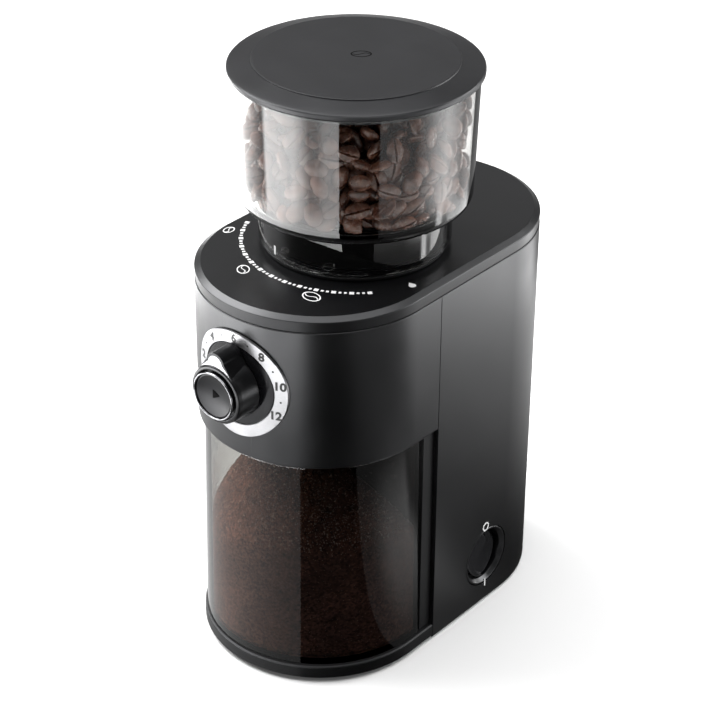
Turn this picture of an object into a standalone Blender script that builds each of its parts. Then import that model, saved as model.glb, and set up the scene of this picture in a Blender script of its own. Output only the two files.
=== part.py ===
"""Free-standing electric disc-burr coffee grinder, modelled as separate pieces.

Frame: +Z up, the front (dial and grounds container) faces -Y, the power rocker is on +X.
The origin is on the table, under the middle of the whole object's box.
All sizes below are in millimetres; meshes are written in metres.
"""
import math

import bmesh
import bpy
from mathutils import Matrix, Vector

MM = 0.001

# ---- driving dimensions (mm) -------------------------------------------------------
BODY_RADIUS = 50.0        # half the width; the body's two ends are semicircles
BODY_STRAIGHT = 64.0      # between the centres of the two semicircles
BODY_TOP = 174.0          # top face of the body
LID_TOP = 253.0           # top of the whole object
KNOB_REACH = 14.1         # button face in front of the body's front
WALL = 2.5                # housing shells
GAP = 0.3                 # between pieces that touch
FOOT_HEIGHT = 2.0         # base plate above the table

# ---- places worked out from them ---------------------------------------------------
BODY_Y = KNOB_REACH / 2                         # middle of the body's plan
FRONT_Y = BODY_Y - BODY_STRAIGHT / 2            # centre of the front semicircle
REAR_Y = BODY_Y + BODY_STRAIGHT / 2             # centre of the rear semicircle
APEX_Y = FRONT_Y - BODY_RADIUS                  # foremost line of the body
HOPPER_Y = BODY_Y - 10.2                        # hopper, grind ring and burr axis
SEAM_Y = BODY_Y - 16.9                          # front edge of the rear housing
BAY_Y = SEAM_Y - 7.0                            # back wall of the container bay
INNER_RADIUS = BODY_RADIUS - WALL

BASE_TOP = 8.0            # deck that the container stands on
BASE_INSET = 2.8          # base plate inside the rear housing
HOUSING_LOW = 106.2       # lower edge of the front housing
COVER_LOW = 168.0         # seam under the top cover
REAR_LOW = 1.0            # lower edge of the rear housing
MOUTH_RADIUS = 34.2       # hole in the top cover, above the burrs
CHAMFER_IN = 2.4          # bevel round the top face
CHAMFER_DROP = 1.3

DIAL_Z = 139.1            # selector, dial and start button axis
DIAL_OUTER = 23.0
DIAL_INNER = 17.8
SPINDLE_HOLE = 6.5        # through the front, for the selector's shaft

CONTAINER_TOP = 104.9
CONTAINER_WALL = 2.2
CONTAINER_FLOOR = 5.0
CONTAINER_GAP = 0.7       # behind it, to the bay's back wall
CONTAINER_INSET_TOP = 2.4
CONTAINER_INSET_LOW = 1.0

BOWL_TOP = 247.6
BOWL_LOW = 194.3
BOWL_RADIUS_TOP = 48.8
BOWL_RADIUS_LOW = 46.7
NECK_RADIUS = 39.0
NECK_LOW = 176.0
CLEAR_WALL = 2.0

LID_RADIUS = 50.4
LID_EDGE = 250.1
LID_DISC_RADIUS = 41.0

MODULE = 1.5              # gear size: pitch diameter over number of teeth
TOOTH_ADDENDUM = 0.9      # in modules
TOOTH_DEDENDUM = 1.35
PRESSURE_ANGLE = 20.0
FLANK_GAP = 0.3
PINION_TEETH = 12
GEAR_TEETH = 40
PINION_PITCH = MODULE * PINION_TEETH / 2
GEAR_PITCH = MODULE * GEAR_TEETH / 2
MOTOR_Y = HOPPER_Y + PINION_PITCH + GEAR_PITCH
GEAR_LOW = 113.0
GEAR_HIGH = 119.0
CASE_LOW = 109.2
CASE_HIGH = 121.5
CASE_WALL = 2.0
COVER_THICK = 2.5
BEARING_RADIUS = 3.9      # hole in the case for the lower bearing
BEARING_FLANGE = 6.0
BEARING_TOP = CASE_LOW + 2.9

CHAMBER_LOW = 124.6
CHAMBER_TOP = 165.0
CHAMBER_RADIUS = 36.2
CHAMBER_BORE = 33.6
BURR_OUTER = 26.5
BURR_INNER = 14.5
LOWER_BURR_TOP = 138.3
BURR_GAP = 1.2            # between the burrs at the middle grind setting
BURR_THICK = 5.0
BURR_TEETH = 24
BURR_TOOTH = 1.3          # depth of the teeth
CARRIER_RADIUS = 28.0
CARRIER_LOW = 128.8
CARRIER_TOP = 133.0
PADDLES = 4
PADDLE_REACH = 32.2
FEED_LOW = 136.3          # feed screw that draws the beans into the burrs
FEED_TOP = 147.0
FEED_WINGS = 3
SHAFT_TOP = 153.0
SHAFT_RADIUS = 3.0
BORE_RADIUS = SHAFT_RADIUS + GAP

CHUTE_HALF_WIDTH = 12.0
CHUTE_FRONT = FRONT_Y - 32.5
CHUTE_BACK = HOPPER_Y - 35.2
CHUTE_LOW = 105.3
CHUTE_TOP = 142.0
CHUTE_WALL = 2.2

MOTOR_RADIUS = 28.0
MOTOR_LOW = 24.0
MOTOR_HIGH = 94.0
MOTOR_WALL = 2.4
MOTOR_SHAFT = 2.5
MOTOR_MOUTH = 5.5         # hole in each end of the can, round the shaft
MAGNET_INNER = 19.0
MAGNET_SPREAD = 140       # degrees each magnet covers
MAGNET_LOW = 36.0
MAGNET_HIGH = 82.0
ROTOR_RADIUS = 18.0
ROTOR_LOW = 40.0
ROTOR_HIGH = 78.0
COMMUTATOR_RADIUS = 8.0
MOUNT_LOW = 84.0
MOUNT_HIGH = 87.0
FAN_LOW = 98.0
FAN_HIGH = 105.0
FAN_RADIUS = 22.0
FAN_HUB = 6.0
FAN_BLADES = 7

SWITCH_Y = BODY_Y + 19.6
SWITCH_Z = 24.0
SWITCH_HOLE = 13.9
ROCKER_RADIUS = 10.9
ROCKER_TILT = 8.0         # degrees either side of level

INTERLOCK_Z = 60.0
INTERLOCK_HOLE = 2.6

INLET_Z = 18.0
INLET_BORE = 2.8
INLET_BODY = 6.0
INLET_FLANGE = 8.5

ROUND = 48                # sides of a large round piece
MIDDLE = 32               # sides of the knob and its button
HIDDEN = 28               # sides of a large one inside
SMALL = 16                # sides of a small one
TINY = 10                 # sides of a screw


# ---- outlines ----------------------------------------------------------------------
def arc(x, y, radius, start, end, steps):
    """Points on an arc, from start to end in degrees, both ends included."""
    turns = [math.radians(start + (end - start) * i / steps) for i in range(steps + 1)]
    return [(x + radius * math.cos(t), y + radius * math.sin(t)) for t in turns]


def circle(x, y, radius, steps):
    return arc(x, y, radius, 0, 360, steps)[:-1]


def stadium(radius, steps=ROUND // 2):
    """The body's plan, shrunk or grown to the given end radius."""
    return arc(0, FRONT_Y, radius, -180, 0, steps) + arc(0, REAR_Y, radius, 0, 180, steps)


def front_half(radius, back, steps=ROUND // 2):
    """The plan's front part, cut off straight at y = back."""
    return [(-radius, back)] + arc(0, FRONT_Y, radius, -180, 0, steps) + [(radius, back)]


def rear_half(radius, front, steps=ROUND // 2):
    """The plan's rear part, cut off straight at y = front."""
    return [(radius, front)] + arc(0, REAR_Y, radius, 0, 180, steps) + [(-radius, front)]


def rectangle(x0, y0, x1, y1):
    return [(x0, y0), (x1, y0), (x1, y1), (x0, y1)]


def two_circle_hull(y0, radius0, y1, radius1, steps=SMALL):
    """Belt line round two circles on the Y axis, the larger one at y0 < y1."""
    lean = math.degrees(math.asin((radius0 - radius1) / (y1 - y0)))
    large = arc(0, y0, radius0, 180 - lean, 360 + lean, 2 * steps)
    small = arc(0, y1, radius1, lean, 180 - lean, steps)
    return large + small


def gear_outline(teeth):
    """A spur gear with straight flanks at the pressure angle, and room on each flank."""
    pitch = MODULE * teeth / 2
    root = pitch - TOOTH_DEDENDUM * MODULE
    tip = pitch + TOOTH_ADDENDUM * MODULE
    slope = math.tan(math.radians(PRESSURE_ANGLE))
    outline = []
    for tooth in range(teeth):
        middle = 2 * math.pi * tooth / teeth
        for radius, side in ((root, -1), (tip, -1), (tip, 1), (root, 1)):
            half = math.pi * MODULE / 4 - FLANK_GAP - (radius - pitch) * slope
            turn = middle + side * half / radius
            outline.append((radius * math.cos(turn), radius * math.sin(turn)))
    return outline


# ---- building blocks ---------------------------------------------------------------
def material(name, colour, roughness, metallic=0.0, transmission=0.0):
    made = bpy.data.materials.new(name)
    made.use_nodes = True
    shader = made.node_tree.nodes["Principled BSDF"]
    shader.inputs["Base Color"].default_value = (*colour, 1)
    shader.inputs["Roughness"].default_value = roughness
    shader.inputs["Metallic"].default_value = metallic
    shader.inputs["Transmission Weight"].default_value = transmission
    made.diffuse_color = (*colour, 1)
    return made


def place(name, bm, look, at=(0, 0, 0), turn=None, parent=None):
    """Make an object of the mesh; at is in mm, turn is a rotation matrix."""
    bmesh.ops.recalc_face_normals(bm, faces=bm.faces)
    mesh = bpy.data.meshes.new(name)
    bm.to_mesh(mesh)
    bm.free()
    mesh.shade_smooth()
    mesh.set_sharp_from_angle(angle=math.radians(30))
    obj = bpy.data.objects.new(name, mesh)
    bpy.context.scene.collection.objects.link(obj)
    if look is not None:
        mesh.materials.append(look)
    spin = turn.to_4x4() if turn else Matrix.Identity(4)
    world = Matrix.Translation(Vector(at) * MM) @ spin
    if parent is not None:
        obj.parent = parent
        obj.matrix_parent_inverse = parent.matrix_world.inverted()
    obj.matrix_basis = world
    return obj


def pivot(name, at, parent=None):
    """An empty on a joint's axis, which the moving pieces hang on."""
    empty = bpy.data.objects.new(name, None)
    empty.empty_display_size = 0.01
    bpy.context.scene.collection.objects.link(empty)
    if parent is not None:
        empty.parent = parent
        empty.matrix_parent_inverse = parent.matrix_world.inverted()
    empty.matrix_basis = Matrix.Translation(Vector(at) * MM)
    bpy.context.view_layer.update()
    return empty


def slab_mesh(outline, low, high):
    """A flat outline raised from z = low to z = high."""
    bm = bmesh.new()
    face = bm.faces.new([bm.verts.new((x * MM, y * MM, low * MM)) for x, y in outline])
    raised = bmesh.ops.extrude_face_region(bm, geom=[face])["geom"]
    top = [item for item in raised if isinstance(item, bmesh.types.BMVert)]
    bmesh.ops.translate(bm, verts=top, vec=(0, 0, (high - low) * MM))
    return bm


def loft_mesh(sections):
    """Outlines with equal point counts, each at its height, skinned into one solid."""
    bm = bmesh.new()
    rings = [[bm.verts.new((x * MM, y * MM, z * MM)) for x, y in outline]
             for outline, z in sections]
    for low, high in zip(rings, rings[1:]):
        for i in range(len(low)):
            j = (i + 1) % len(low)
            bm.faces.new((low[i], low[j], high[j], high[i]))
    bm.faces.new(rings[0])
    bm.faces.new(rings[-1])
    return bm


def turned_mesh(outline, steps):
    """A closed (radius, height) outline turned about the Z axis."""
    bm = bmesh.new()
    ring = [bm.verts.new((r * MM, 0, z * MM)) for r, z in outline]
    edges = []
    for first, second in zip(ring, ring[1:] + ring[:1]):
        if first.co.x > 0 or second.co.x > 0:
            edges.append(bm.edges.new((first, second)))
    bmesh.ops.spin(bm, geom=ring + edges, cent=(0, 0, 0), axis=(0, 0, 1),
                   angle=2 * math.pi, steps=steps)
    bmesh.ops.remove_doubles(bm, verts=bm.verts, dist=1e-6)
    return bm


def slab(name, outline, low, high, look, **where):
    return place(name, slab_mesh(outline, low, high), look, **where)


def turned(name, outline, look, steps=ROUND, **where):
    return place(name, turned_mesh(outline, steps), look, **where)


def box(name, low, high, look, **where):
    outline = rectangle(low[0], low[1], high[0], high[1])
    return slab(name, outline, low[2], high[2], look, **where)


def tool(made):
    """Mark an object as a cutter, which is not a piece of the grinder."""
    made.hide_render = True
    made.display_type = "WIRE"
    return made


def boolean(target, cutter, operation="DIFFERENCE"):
    change = target.modifiers.new(operation.title(), "BOOLEAN")
    change.operation = operation
    change.solver = "EXACT"
    change.object = tool(cutter)


ALONG_X = Matrix.Rotation(math.radians(90), 3, "Y")
ALONG_Y = Matrix.Rotation(math.radians(90), 3, "X")


def drill_x(target, y, z, radius, x0, x1, steps=SMALL):
    """A round hole along X."""
    bm = slab_mesh(circle(0, 0, radius, steps), x0, x1)
    boolean(target, place(target.name + "_hole", bm, None, at=(0, y, z), turn=ALONG_X))


def drill_y(target, x, z, radius, y0, y1, steps=SMALL):
    """A round hole along Y; the cutter's own +Z points to -Y."""
    bm = slab_mesh(circle(0, 0, radius, steps), -y1, -y0)
    boolean(target, place(target.name + "_hole", bm, None, at=(x, 0, z), turn=ALONG_Y))


def drill_z(target, x, y, radius, z0, z1, steps=SMALL):
    bm = slab_mesh(circle(0, 0, radius, steps), z0, z1)
    boolean(target, place(target.name + "_hole", bm, None, at=(x, y, 0)))


def cut_box(target, low, high):
    boolean(target, box(target.name + "_cut", low, high, None))


def add_box(target, low, high):
    boolean(target, box(target.name + "_add", low, high, None), "UNION")


def screw(name, x, y, seat, length, radius, head, look):
    """A pan-head screw driven upwards, whose head rests at z = seat."""
    outline = [(0, seat - 0.6 * head), (0.7 * head, seat - 0.6 * head),
               (head, seat - 0.2 * head), (head, seat), (radius, seat),
               (radius, seat + length - radius), (0, seat + length)]
    return turned(name, outline, look, TINY, at=(x, y, 0))


# ---- materials ---------------------------------------------------------------------
def make_materials():
    return {
        "black": material("black_plastic", (0.022, 0.022, 0.024), 0.45),
        "gloss": material("gloss_black", (0.012, 0.012, 0.014), 0.12),
        "silver": material("silver_ring", (0.62, 0.62, 0.63), 0.32, 0.6),
        "clear": material("clear_plastic", (0.72, 0.70, 0.68), 0.05, 0.0, 0.9),
        "rubber": material("rubber", (0.02, 0.02, 0.02), 0.8),
        "steel": material("steel", (0.60, 0.60, 0.60), 0.3, 1.0),
        "burr": material("burr_steel", (0.42, 0.42, 0.43), 0.35, 1.0),
        "brass": material("brass", (0.72, 0.52, 0.24), 0.35, 1.0),
        "nylon": material("nylon", (0.82, 0.80, 0.74), 0.5),
        "zinc": material("zinc_can", (0.50, 0.50, 0.52), 0.4, 0.9),
        "board": material("board_green", (0.03, 0.16, 0.07), 0.5),
        "ferrite": material("ferrite", (0.05, 0.05, 0.055), 0.6),
    }


# ---- base and housings -------------------------------------------------------------
BASE_SCREWS = [(side * x, y) for side in (-1, 1)
               for x, y in ((42.9, BODY_Y + 2.0), (40.5, REAR_Y + 16.0))]
FEET = [(x, y) for x in (-32.0, 32.0) for y in (FRONT_Y - 8.0, REAR_Y + 8.0)]
FOOT_RADIUS = 7.0
FOOT_SUNK = 1.5           # depth of the pockets that the feet sit in
SCREW_RADIUS = 1.5
SCREW_HEAD = 3.0
SCREW_LENGTH = 16.0
SCREW_SINK = 2.6          # depth of the pockets that the screw heads sit in
BOSS_RADIUS = 5.0
BOSS_TOP = 24.0
VENTS = 5                 # air slots under the motor
VENT_PITCH = 8.0
VENT_WIDTH = 3.0
VENT_REACH = 16.0
THROUGH = 1.0             # how far a cutter runs past what it cuts


def make_base(looks):
    front = arc(0, FRONT_Y, BODY_RADIUS, -180, 0, ROUND // 2)
    rear = arc(0, REAR_Y, BODY_RADIUS - BASE_INSET, 0, 180, ROUND // 2)
    step = SEAM_Y - GAP
    inset = BODY_RADIUS - BASE_INSET
    outline = ([(-BODY_RADIUS, step)] + front + [(BODY_RADIUS, step), (inset, step)]
               + rear + [(-inset, step)])
    base = slab("base_plate", outline, FOOT_HEIGHT, BASE_TOP, looks["black"])
    under = FOOT_HEIGHT - THROUGH
    for x, y in FEET:
        drill_z(base, x, y, FOOT_RADIUS + GAP, under, FOOT_HEIGHT + FOOT_SUNK)
    for x, y in BASE_SCREWS:
        drill_z(base, x, y, SCREW_RADIUS + GAP, under, BASE_TOP + THROUGH)
        drill_z(base, x, y, SCREW_HEAD + 0.5, under, FOOT_HEIGHT + SCREW_SINK)
    for slot in range(VENTS):
        y = MOTOR_Y + VENT_PITCH * (slot - VENTS // 2)
        cut_box(base, (-VENT_REACH, y - VENT_WIDTH / 2, under),
                (VENT_REACH, y + VENT_WIDTH / 2, BASE_TOP + THROUGH))
    make_feet_and_screws(looks)


def make_feet_and_screws(looks):
    top = FOOT_HEIGHT + FOOT_SUNK - GAP
    bevel = 0.8
    foot = [(0, 0), (FOOT_RADIUS - bevel, 0), (FOOT_RADIUS, bevel), (FOOT_RADIUS, top),
            (0, top)]
    for side, (x, y) in zip(("front_left", "back_left", "front_right", "back_right"), FEET):
        turned("foot_" + side, foot, looks["rubber"], SMALL, at=(x, y, 0))
    for number, (x, y) in enumerate(BASE_SCREWS, 1):
        screw("base_screw_%d" % number, x, y, FOOT_HEIGHT + SCREW_SINK - GAP,
              SCREW_LENGTH, SCREW_RADIUS, SCREW_HEAD, looks["steel"])


def make_rear_housing(looks):
    outer = rear_half(BODY_RADIUS, SEAM_Y)
    inner = rear_half(INNER_RADIUS, SEAM_Y)
    shell = slab("rear_housing", outer + inner[::-1], REAR_LOW, COVER_LOW - GAP,
                 looks["black"])
    for x, y in BASE_SCREWS:
        boss = slab_mesh(circle(0, 0, BOSS_RADIUS, SMALL), BASE_TOP + GAP, BOSS_TOP)
        boolean(shell, place("boss", boss, None, at=(x, y, 0)), "UNION")
    for x, y in BASE_SCREWS:
        drill_z(shell, x, y, SCREW_RADIUS + GAP, BASE_TOP - THROUGH, BOSS_TOP + THROUGH)
    drill_x(shell, SWITCH_Y, SWITCH_Z, SWITCH_HOLE + GAP, INNER_RADIUS - 6,
            BODY_RADIUS + 5, ROUND)
    drill_y(shell, 0, INLET_Z, INLET_BODY + GAP, REAR_Y + INNER_RADIUS - 5,
            REAR_Y + BODY_RADIUS + 5)


def make_front_housing(looks):
    back = SEAM_Y - GAP
    shell = slab("front_housing", front_half(BODY_RADIUS, back), HOUSING_LOW,
                 COVER_LOW - GAP, looks["black"])
    hollow = slab_mesh(front_half(INNER_RADIUS, back + 10), HOUSING_LOW + WALL,
                       COVER_LOW + 10)
    boolean(shell, place("front_hollow", hollow, None))
    cut_box(shell, (-CHUTE_HALF_WIDTH - GAP, CHUTE_FRONT - GAP, HOUSING_LOW - 2),
            (CHUTE_HALF_WIDTH + GAP, CHUTE_BACK + GAP, HOUSING_LOW + WALL + 2))
    drill_y(shell, 0, DIAL_Z, SPINDLE_HOLE, APEX_Y - 5, APEX_Y + 8)


def make_top_cover(looks):
    sections = [(stadium(BODY_RADIUS), COVER_LOW),
                (stadium(BODY_RADIUS), BODY_TOP - CHAMFER_DROP),
                (stadium(BODY_RADIUS - CHAMFER_IN), BODY_TOP)]
    cover = place("top_cover", loft_mesh(sections), looks["black"])
    hollow = slab_mesh(stadium(INNER_RADIUS), COVER_LOW - 5, BODY_TOP - WALL)
    boolean(cover, place("cover_hollow", hollow, None))
    drill_z(cover, 0, HOPPER_Y, MOUTH_RADIUS, COVER_LOW - 5, BODY_TOP + 5, ROUND)


def make_bay_wall(looks):
    """Back wall of the container bay, with flanges that tuck into the rear housing."""
    strip = BODY_RADIUS - 2.0
    tuck = INNER_RADIUS - 0.4
    jog = SEAM_Y - GAP
    back = SEAM_Y + 12.0
    outer = [(-strip, BAY_Y), (strip, BAY_Y), (strip, jog), (tuck, jog), (tuck, back)]
    inner = [(tuck - WALL, back), (tuck - WALL, BAY_Y + WALL),
             (-tuck + WALL, BAY_Y + WALL), (-tuck + WALL, back)]
    outline = outer + inner + [(-tuck, back), (-tuck, jog), (-strip, jog)]
    wall = slab("bay_wall", outline, BASE_TOP + GAP, HOUSING_LOW - GAP, looks["black"])
    drill_y(wall, 0, INTERLOCK_Z, INTERLOCK_HOLE, BAY_Y - 5, BAY_Y + 8)


# ---- dial, selector and start button -----------------------------------------------
def on_front(name, radius, hole, thick, look):
    """A round plate with a hole, bent round the front a gap off its surface."""
    depth = FRONT_Y - APEX_Y
    bm = slab_mesh(circle(0, 0, radius, ROUND), depth - 25, depth + 5)
    plate = place(name, bm, look, at=(0, FRONT_Y, DIAL_Z), turn=ALONG_Y)
    inner = BODY_RADIUS + GAP
    outer = inner + thick
    low = DIAL_Z - 30
    high = DIAL_Z + 30
    shell = [(inner, low), (outer, low), (outer, high), (inner, high)]
    bend = place(name + "_bend", turned_mesh(shell, 2 * ROUND), None, at=(0, FRONT_Y, 0))
    boolean(plate, bend, "INTERSECT")
    drill_y(plate, 0, DIAL_Z, hole, APEX_Y - 9, APEX_Y + 30, ROUND)


def make_dial(looks):
    on_front("dial_ring", DIAL_OUTER, DIAL_INNER, 1.0, looks["silver"])
    on_front("dial_plate", DIAL_INNER - GAP, SPINDLE_HOLE, 0.7, looks["gloss"])


KNOB_BACK = 1.4           # knob's back above the front's apex line
KNOB_RADIUS_BACK = 13.6
KNOB_RADIUS_FRONT = 12.6
KNOB_FRONT = 12.6         # front rim of the barrel, in front of the apex
POINTER_REACH = 18.3
POINTER_ROUND = 4.6
BUTTON_RADIUS = 9.7
WELL_RADIUS = BUTTON_RADIUS + 0.9
WELL_FLOOR = KNOB_FRONT - 4.0
HUB_BORE = 4.3            # through the knob, for its shaft


def make_selector(looks):
    axis = pivot("selector_axis", (0, APEX_Y, DIAL_Z))
    where = {"at": (0, APEX_Y, DIAL_Z), "turn": ALONG_Y}
    barrel = [(KNOB_RADIUS_BACK, KNOB_BACK), (KNOB_RADIUS_FRONT, KNOB_FRONT - 2.2),
              (KNOB_RADIUS_FRONT - 1.8, KNOB_FRONT), (WELL_RADIUS, KNOB_FRONT),
              (WELL_RADIUS, WELL_FLOOR), (HUB_BORE, WELL_FLOOR), (HUB_BORE, KNOB_BACK)]
    knob = turned("selector_knob", barrel, looks["black"], MIDDLE, parent=axis, **where)
    top = POINTER_REACH - POINTER_ROUND
    rib = ([(-KNOB_RADIUS_FRONT + 3.4, 6.0)] + [(-POINTER_ROUND - 0.8, top - 3)]
           + arc(0, top, POINTER_ROUND, 165, 15, 12)
           + [(POINTER_ROUND + 0.8, top - 3), (KNOB_RADIUS_FRONT - 3.4, 6.0)])
    pointer = slab_mesh(rib, KNOB_BACK, KNOB_FRONT - 0.6)
    boolean(knob, place("knob_pointer", pointer, None, parent=axis, **where), "UNION")
    well = slab_mesh(circle(0, 0, WELL_RADIUS, MIDDLE), WELL_FLOOR, KNOB_FRONT + 5)
    boolean(knob, place("knob_well", well, None, parent=axis, **where))
    shaft_top = WELL_FLOOR - 0.6
    shaft = [(2.6, -12.0), (4.0, -12.0), (4.0, shaft_top), (2.6, shaft_top)]
    turned("knob_shaft", shaft, looks["nylon"], SMALL, parent=axis, **where)
    make_button(looks, pivot("button_axis", (0, APEX_Y, DIAL_Z), axis), where)


def make_button(looks, press, where):
    stem = 2.2
    edge = BUTTON_RADIUS - 0.6
    back = KNOB_FRONT - 1.6
    face = [(0, -9.4), (stem, -9.4), (stem, back), (edge, back), (edge, KNOB_REACH - 0.9),
            (7.5, KNOB_REACH - 1.2), (4.0, KNOB_REACH - 1.8), (0, KNOB_REACH - 2.1)]
    turned("start_button", face, looks["black"], MIDDLE, parent=press, **where)
    inner = BUTTON_RADIUS - 0.4
    outer = BUTTON_RADIUS + 0.5
    trim = [(inner, KNOB_FRONT - 1.0), (outer, KNOB_FRONT - 1.0), (outer, KNOB_REACH - 0.5),
            (BUTTON_RADIUS + 0.1, KNOB_REACH), (inner, KNOB_REACH - 0.5)]
    turned("button_trim", trim, looks["silver"], MIDDLE, parent=press, **where)


BOARD_Y = APEX_Y + 14.0
BOARD_THICK = 1.6
BOARD_HALF_WIDTH = 25.0
BOARD_HALF_HEIGHT = 20.0


def make_electronics(looks):
    behind = BOARD_Y + BOARD_THICK
    box("control_board", (-BOARD_HALF_WIDTH, BOARD_Y, DIAL_Z - BOARD_HALF_HEIGHT),
        (BOARD_HALF_WIDTH, behind, DIAL_Z + BOARD_HALF_HEIGHT), looks["board"])
    ring = [(4.4, -13.7), (9.0, -13.7), (9.0, -7.5), (4.4, -7.5)]
    turned("potentiometer", ring, looks["ferrite"], SMALL, at=(0, APEX_Y, DIAL_Z),
           turn=ALONG_Y)
    box("start_switch", (-1.9, BOARD_Y - 2.0, DIAL_Z - 1.4),
        (1.9, BOARD_Y - GAP, DIAL_Z + 1.4), looks["ferrite"])
    box("relay", (14, behind + GAP, DIAL_Z - 14), (23, BOARD_Y + 9.0, DIAL_Z + 2),
        looks["nylon"])


# ---- power switch, inlet and interlock ---------------------------------------------
def make_switch(looks):
    skin = BODY_RADIUS - 0.05
    opening = ROCKER_RADIUS + 0.9
    back = INNER_RADIUS - 3.4
    bezel = [(SWITCH_HOLE, skin), (SWITCH_HOLE - 0.5, BODY_RADIUS), (opening, skin - 1.6),
             (opening, back), (SWITCH_HOLE, back)]
    turned("switch_bezel", bezel[::-1], looks["black"], ROUND // 2,
           at=(0, SWITCH_Y, SWITCH_Z), turn=ALONG_X)
    axis_x = BODY_RADIUS - 4.6
    hinge = pivot("rocker_axis", (axis_x, SWITCH_Y, SWITCH_Z))
    tilt = Matrix.Rotation(math.radians(-ROCKER_TILT), 3, "Y") @ ALONG_X
    disc = [(0, -2.0), (ROCKER_RADIUS - 1.2, -2.0), (ROCKER_RADIUS - 0.2, 0.6),
            (ROCKER_RADIUS - 0.6, 2.8), (ROCKER_RADIUS - 1.4, 3.2), (0, 2.0)]
    turned("power_rocker", disc, looks["gloss"], ROUND // 2,
           at=(axis_x, SWITCH_Y, SWITCH_Z), turn=tilt, parent=hinge)
    half = 9.0
    box("switch_body", (29.0, SWITCH_Y - half, SWITCH_Z - half),
        (INNER_RADIUS - 6.6, SWITCH_Y + half, SWITCH_Z + half), looks["ferrite"])


def make_inlet(looks):
    rear = REAR_Y + BODY_RADIUS
    seat = -WALL - 1.2
    face = -0.4
    gland = [(INLET_BORE, seat - 3.2), (INLET_FLANGE, seat - 3.2), (INLET_FLANGE, seat),
             (INLET_BODY, seat), (INLET_BODY, face), (INLET_BORE, face)]
    turned("cable_inlet", gland, looks["rubber"], SMALL, at=(0, rear, INLET_Z),
           turn=Matrix.Rotation(math.radians(-90), 3, "X"))


def make_interlock(looks):
    front = BAY_Y + WALL + GAP
    half = 6.0
    box("interlock_switch", (-half, front + 2.4, INTERLOCK_Z - half),
        (half, front + 9.0, INTERLOCK_Z + half), looks["ferrite"])
    push = pivot("interlock_axis", (0, BAY_Y, INTERLOCK_Z))
    pin = [(0, -4.0), (4.0, -4.0), (4.0, -2.8), (2.2, -2.8), (2.2, -0.2), (1.4, 0.3), (0, 0.3)]
    turned("interlock_plunger", pin, looks["nylon"], SMALL, at=(0, BAY_Y, INTERLOCK_Z),
           turn=ALONG_Y, parent=push)


# ---- motor and gears ---------------------------------------------------------------
def make_motor(looks):
    bore = MOTOR_RADIUS - MOTOR_WALL
    floor = MOTOR_LOW + MOTOR_WALL
    bevel = 1.5
    can = [(MOTOR_MOUTH, MOTOR_LOW), (MOTOR_RADIUS - bevel, MOTOR_LOW),
           (MOTOR_RADIUS, MOTOR_LOW + bevel), (MOTOR_RADIUS, MOTOR_HIGH),
           (bore, MOTOR_HIGH), (bore, floor), (MOTOR_MOUTH, floor)]
    at = (0, MOTOR_Y, 0)
    turned("motor_can", can[::-1], looks["zinc"], HIDDEN, at=at)
    cap = rectangle(MOTOR_MOUTH, MOTOR_HIGH + GAP, MOTOR_RADIUS, MOTOR_HIGH + 2.2)
    turned("motor_end_cap", cap, looks["zinc"], HIDDEN, at=at)
    for side, start in (("left", 110), ("right", -70)):
        outer = arc(0, 0, bore - GAP, start, start + MAGNET_SPREAD, 8)
        inner = arc(0, 0, MAGNET_INNER, start + MAGNET_SPREAD, start, 8)
        slab("motor_magnet_" + side, outer + inner, MAGNET_LOW, MAGNET_HIGH,
             looks["ferrite"], at=at)
    reach = INNER_RADIUS - 1.5
    mount = slab("motor_mount", circle(0, MOTOR_Y, MOTOR_RADIUS + 4.0, HIDDEN), MOUNT_LOW,
                 MOUNT_HIGH, looks["zinc"])
    add_box(mount, (-reach, MOTOR_Y - 9, MOUNT_LOW), (reach, MOTOR_Y + 9, MOUNT_HIGH))
    drill_z(mount, 0, MOTOR_Y, MOTOR_RADIUS + GAP, MOUNT_LOW - 4, MOUNT_HIGH + 3, HIDDEN)
    make_rotor(looks, at, pivot("rotor_axis", at))


def make_rotor(looks, at, axis):
    """Shaft, commutator and armature in one, with the pinion and the fan on it."""
    top = CASE_HIGH - 0.8
    rotor = [(0, 25.0), (MOTOR_SHAFT, 25.0), (MOTOR_SHAFT, 29.0), (COMMUTATOR_RADIUS, 29.0),
             (COMMUTATOR_RADIUS, 36.5), (MOTOR_SHAFT, 36.5), (MOTOR_SHAFT, ROTOR_LOW),
             (ROTOR_RADIUS, ROTOR_LOW), (ROTOR_RADIUS, ROTOR_HIGH),
             (MOTOR_SHAFT, ROTOR_HIGH), (MOTOR_SHAFT, top), (0, top)]
    turned("motor_rotor", rotor, looks["steel"], SMALL, at=at, parent=axis)
    mesh_turn = Matrix.Rotation(math.pi / PINION_TEETH - math.pi / 2, 3, "Z")
    pinion = slab("motor_pinion", gear_outline(PINION_TEETH), GEAR_LOW, GEAR_HIGH,
                  looks["brass"], at=at, turn=mesh_turn, parent=axis)
    drill_z(pinion, 0, MOTOR_Y, MOTOR_SHAFT + GAP, GEAR_LOW - 2, GEAR_HIGH + 2)
    make_fan(looks, at, axis)


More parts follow.
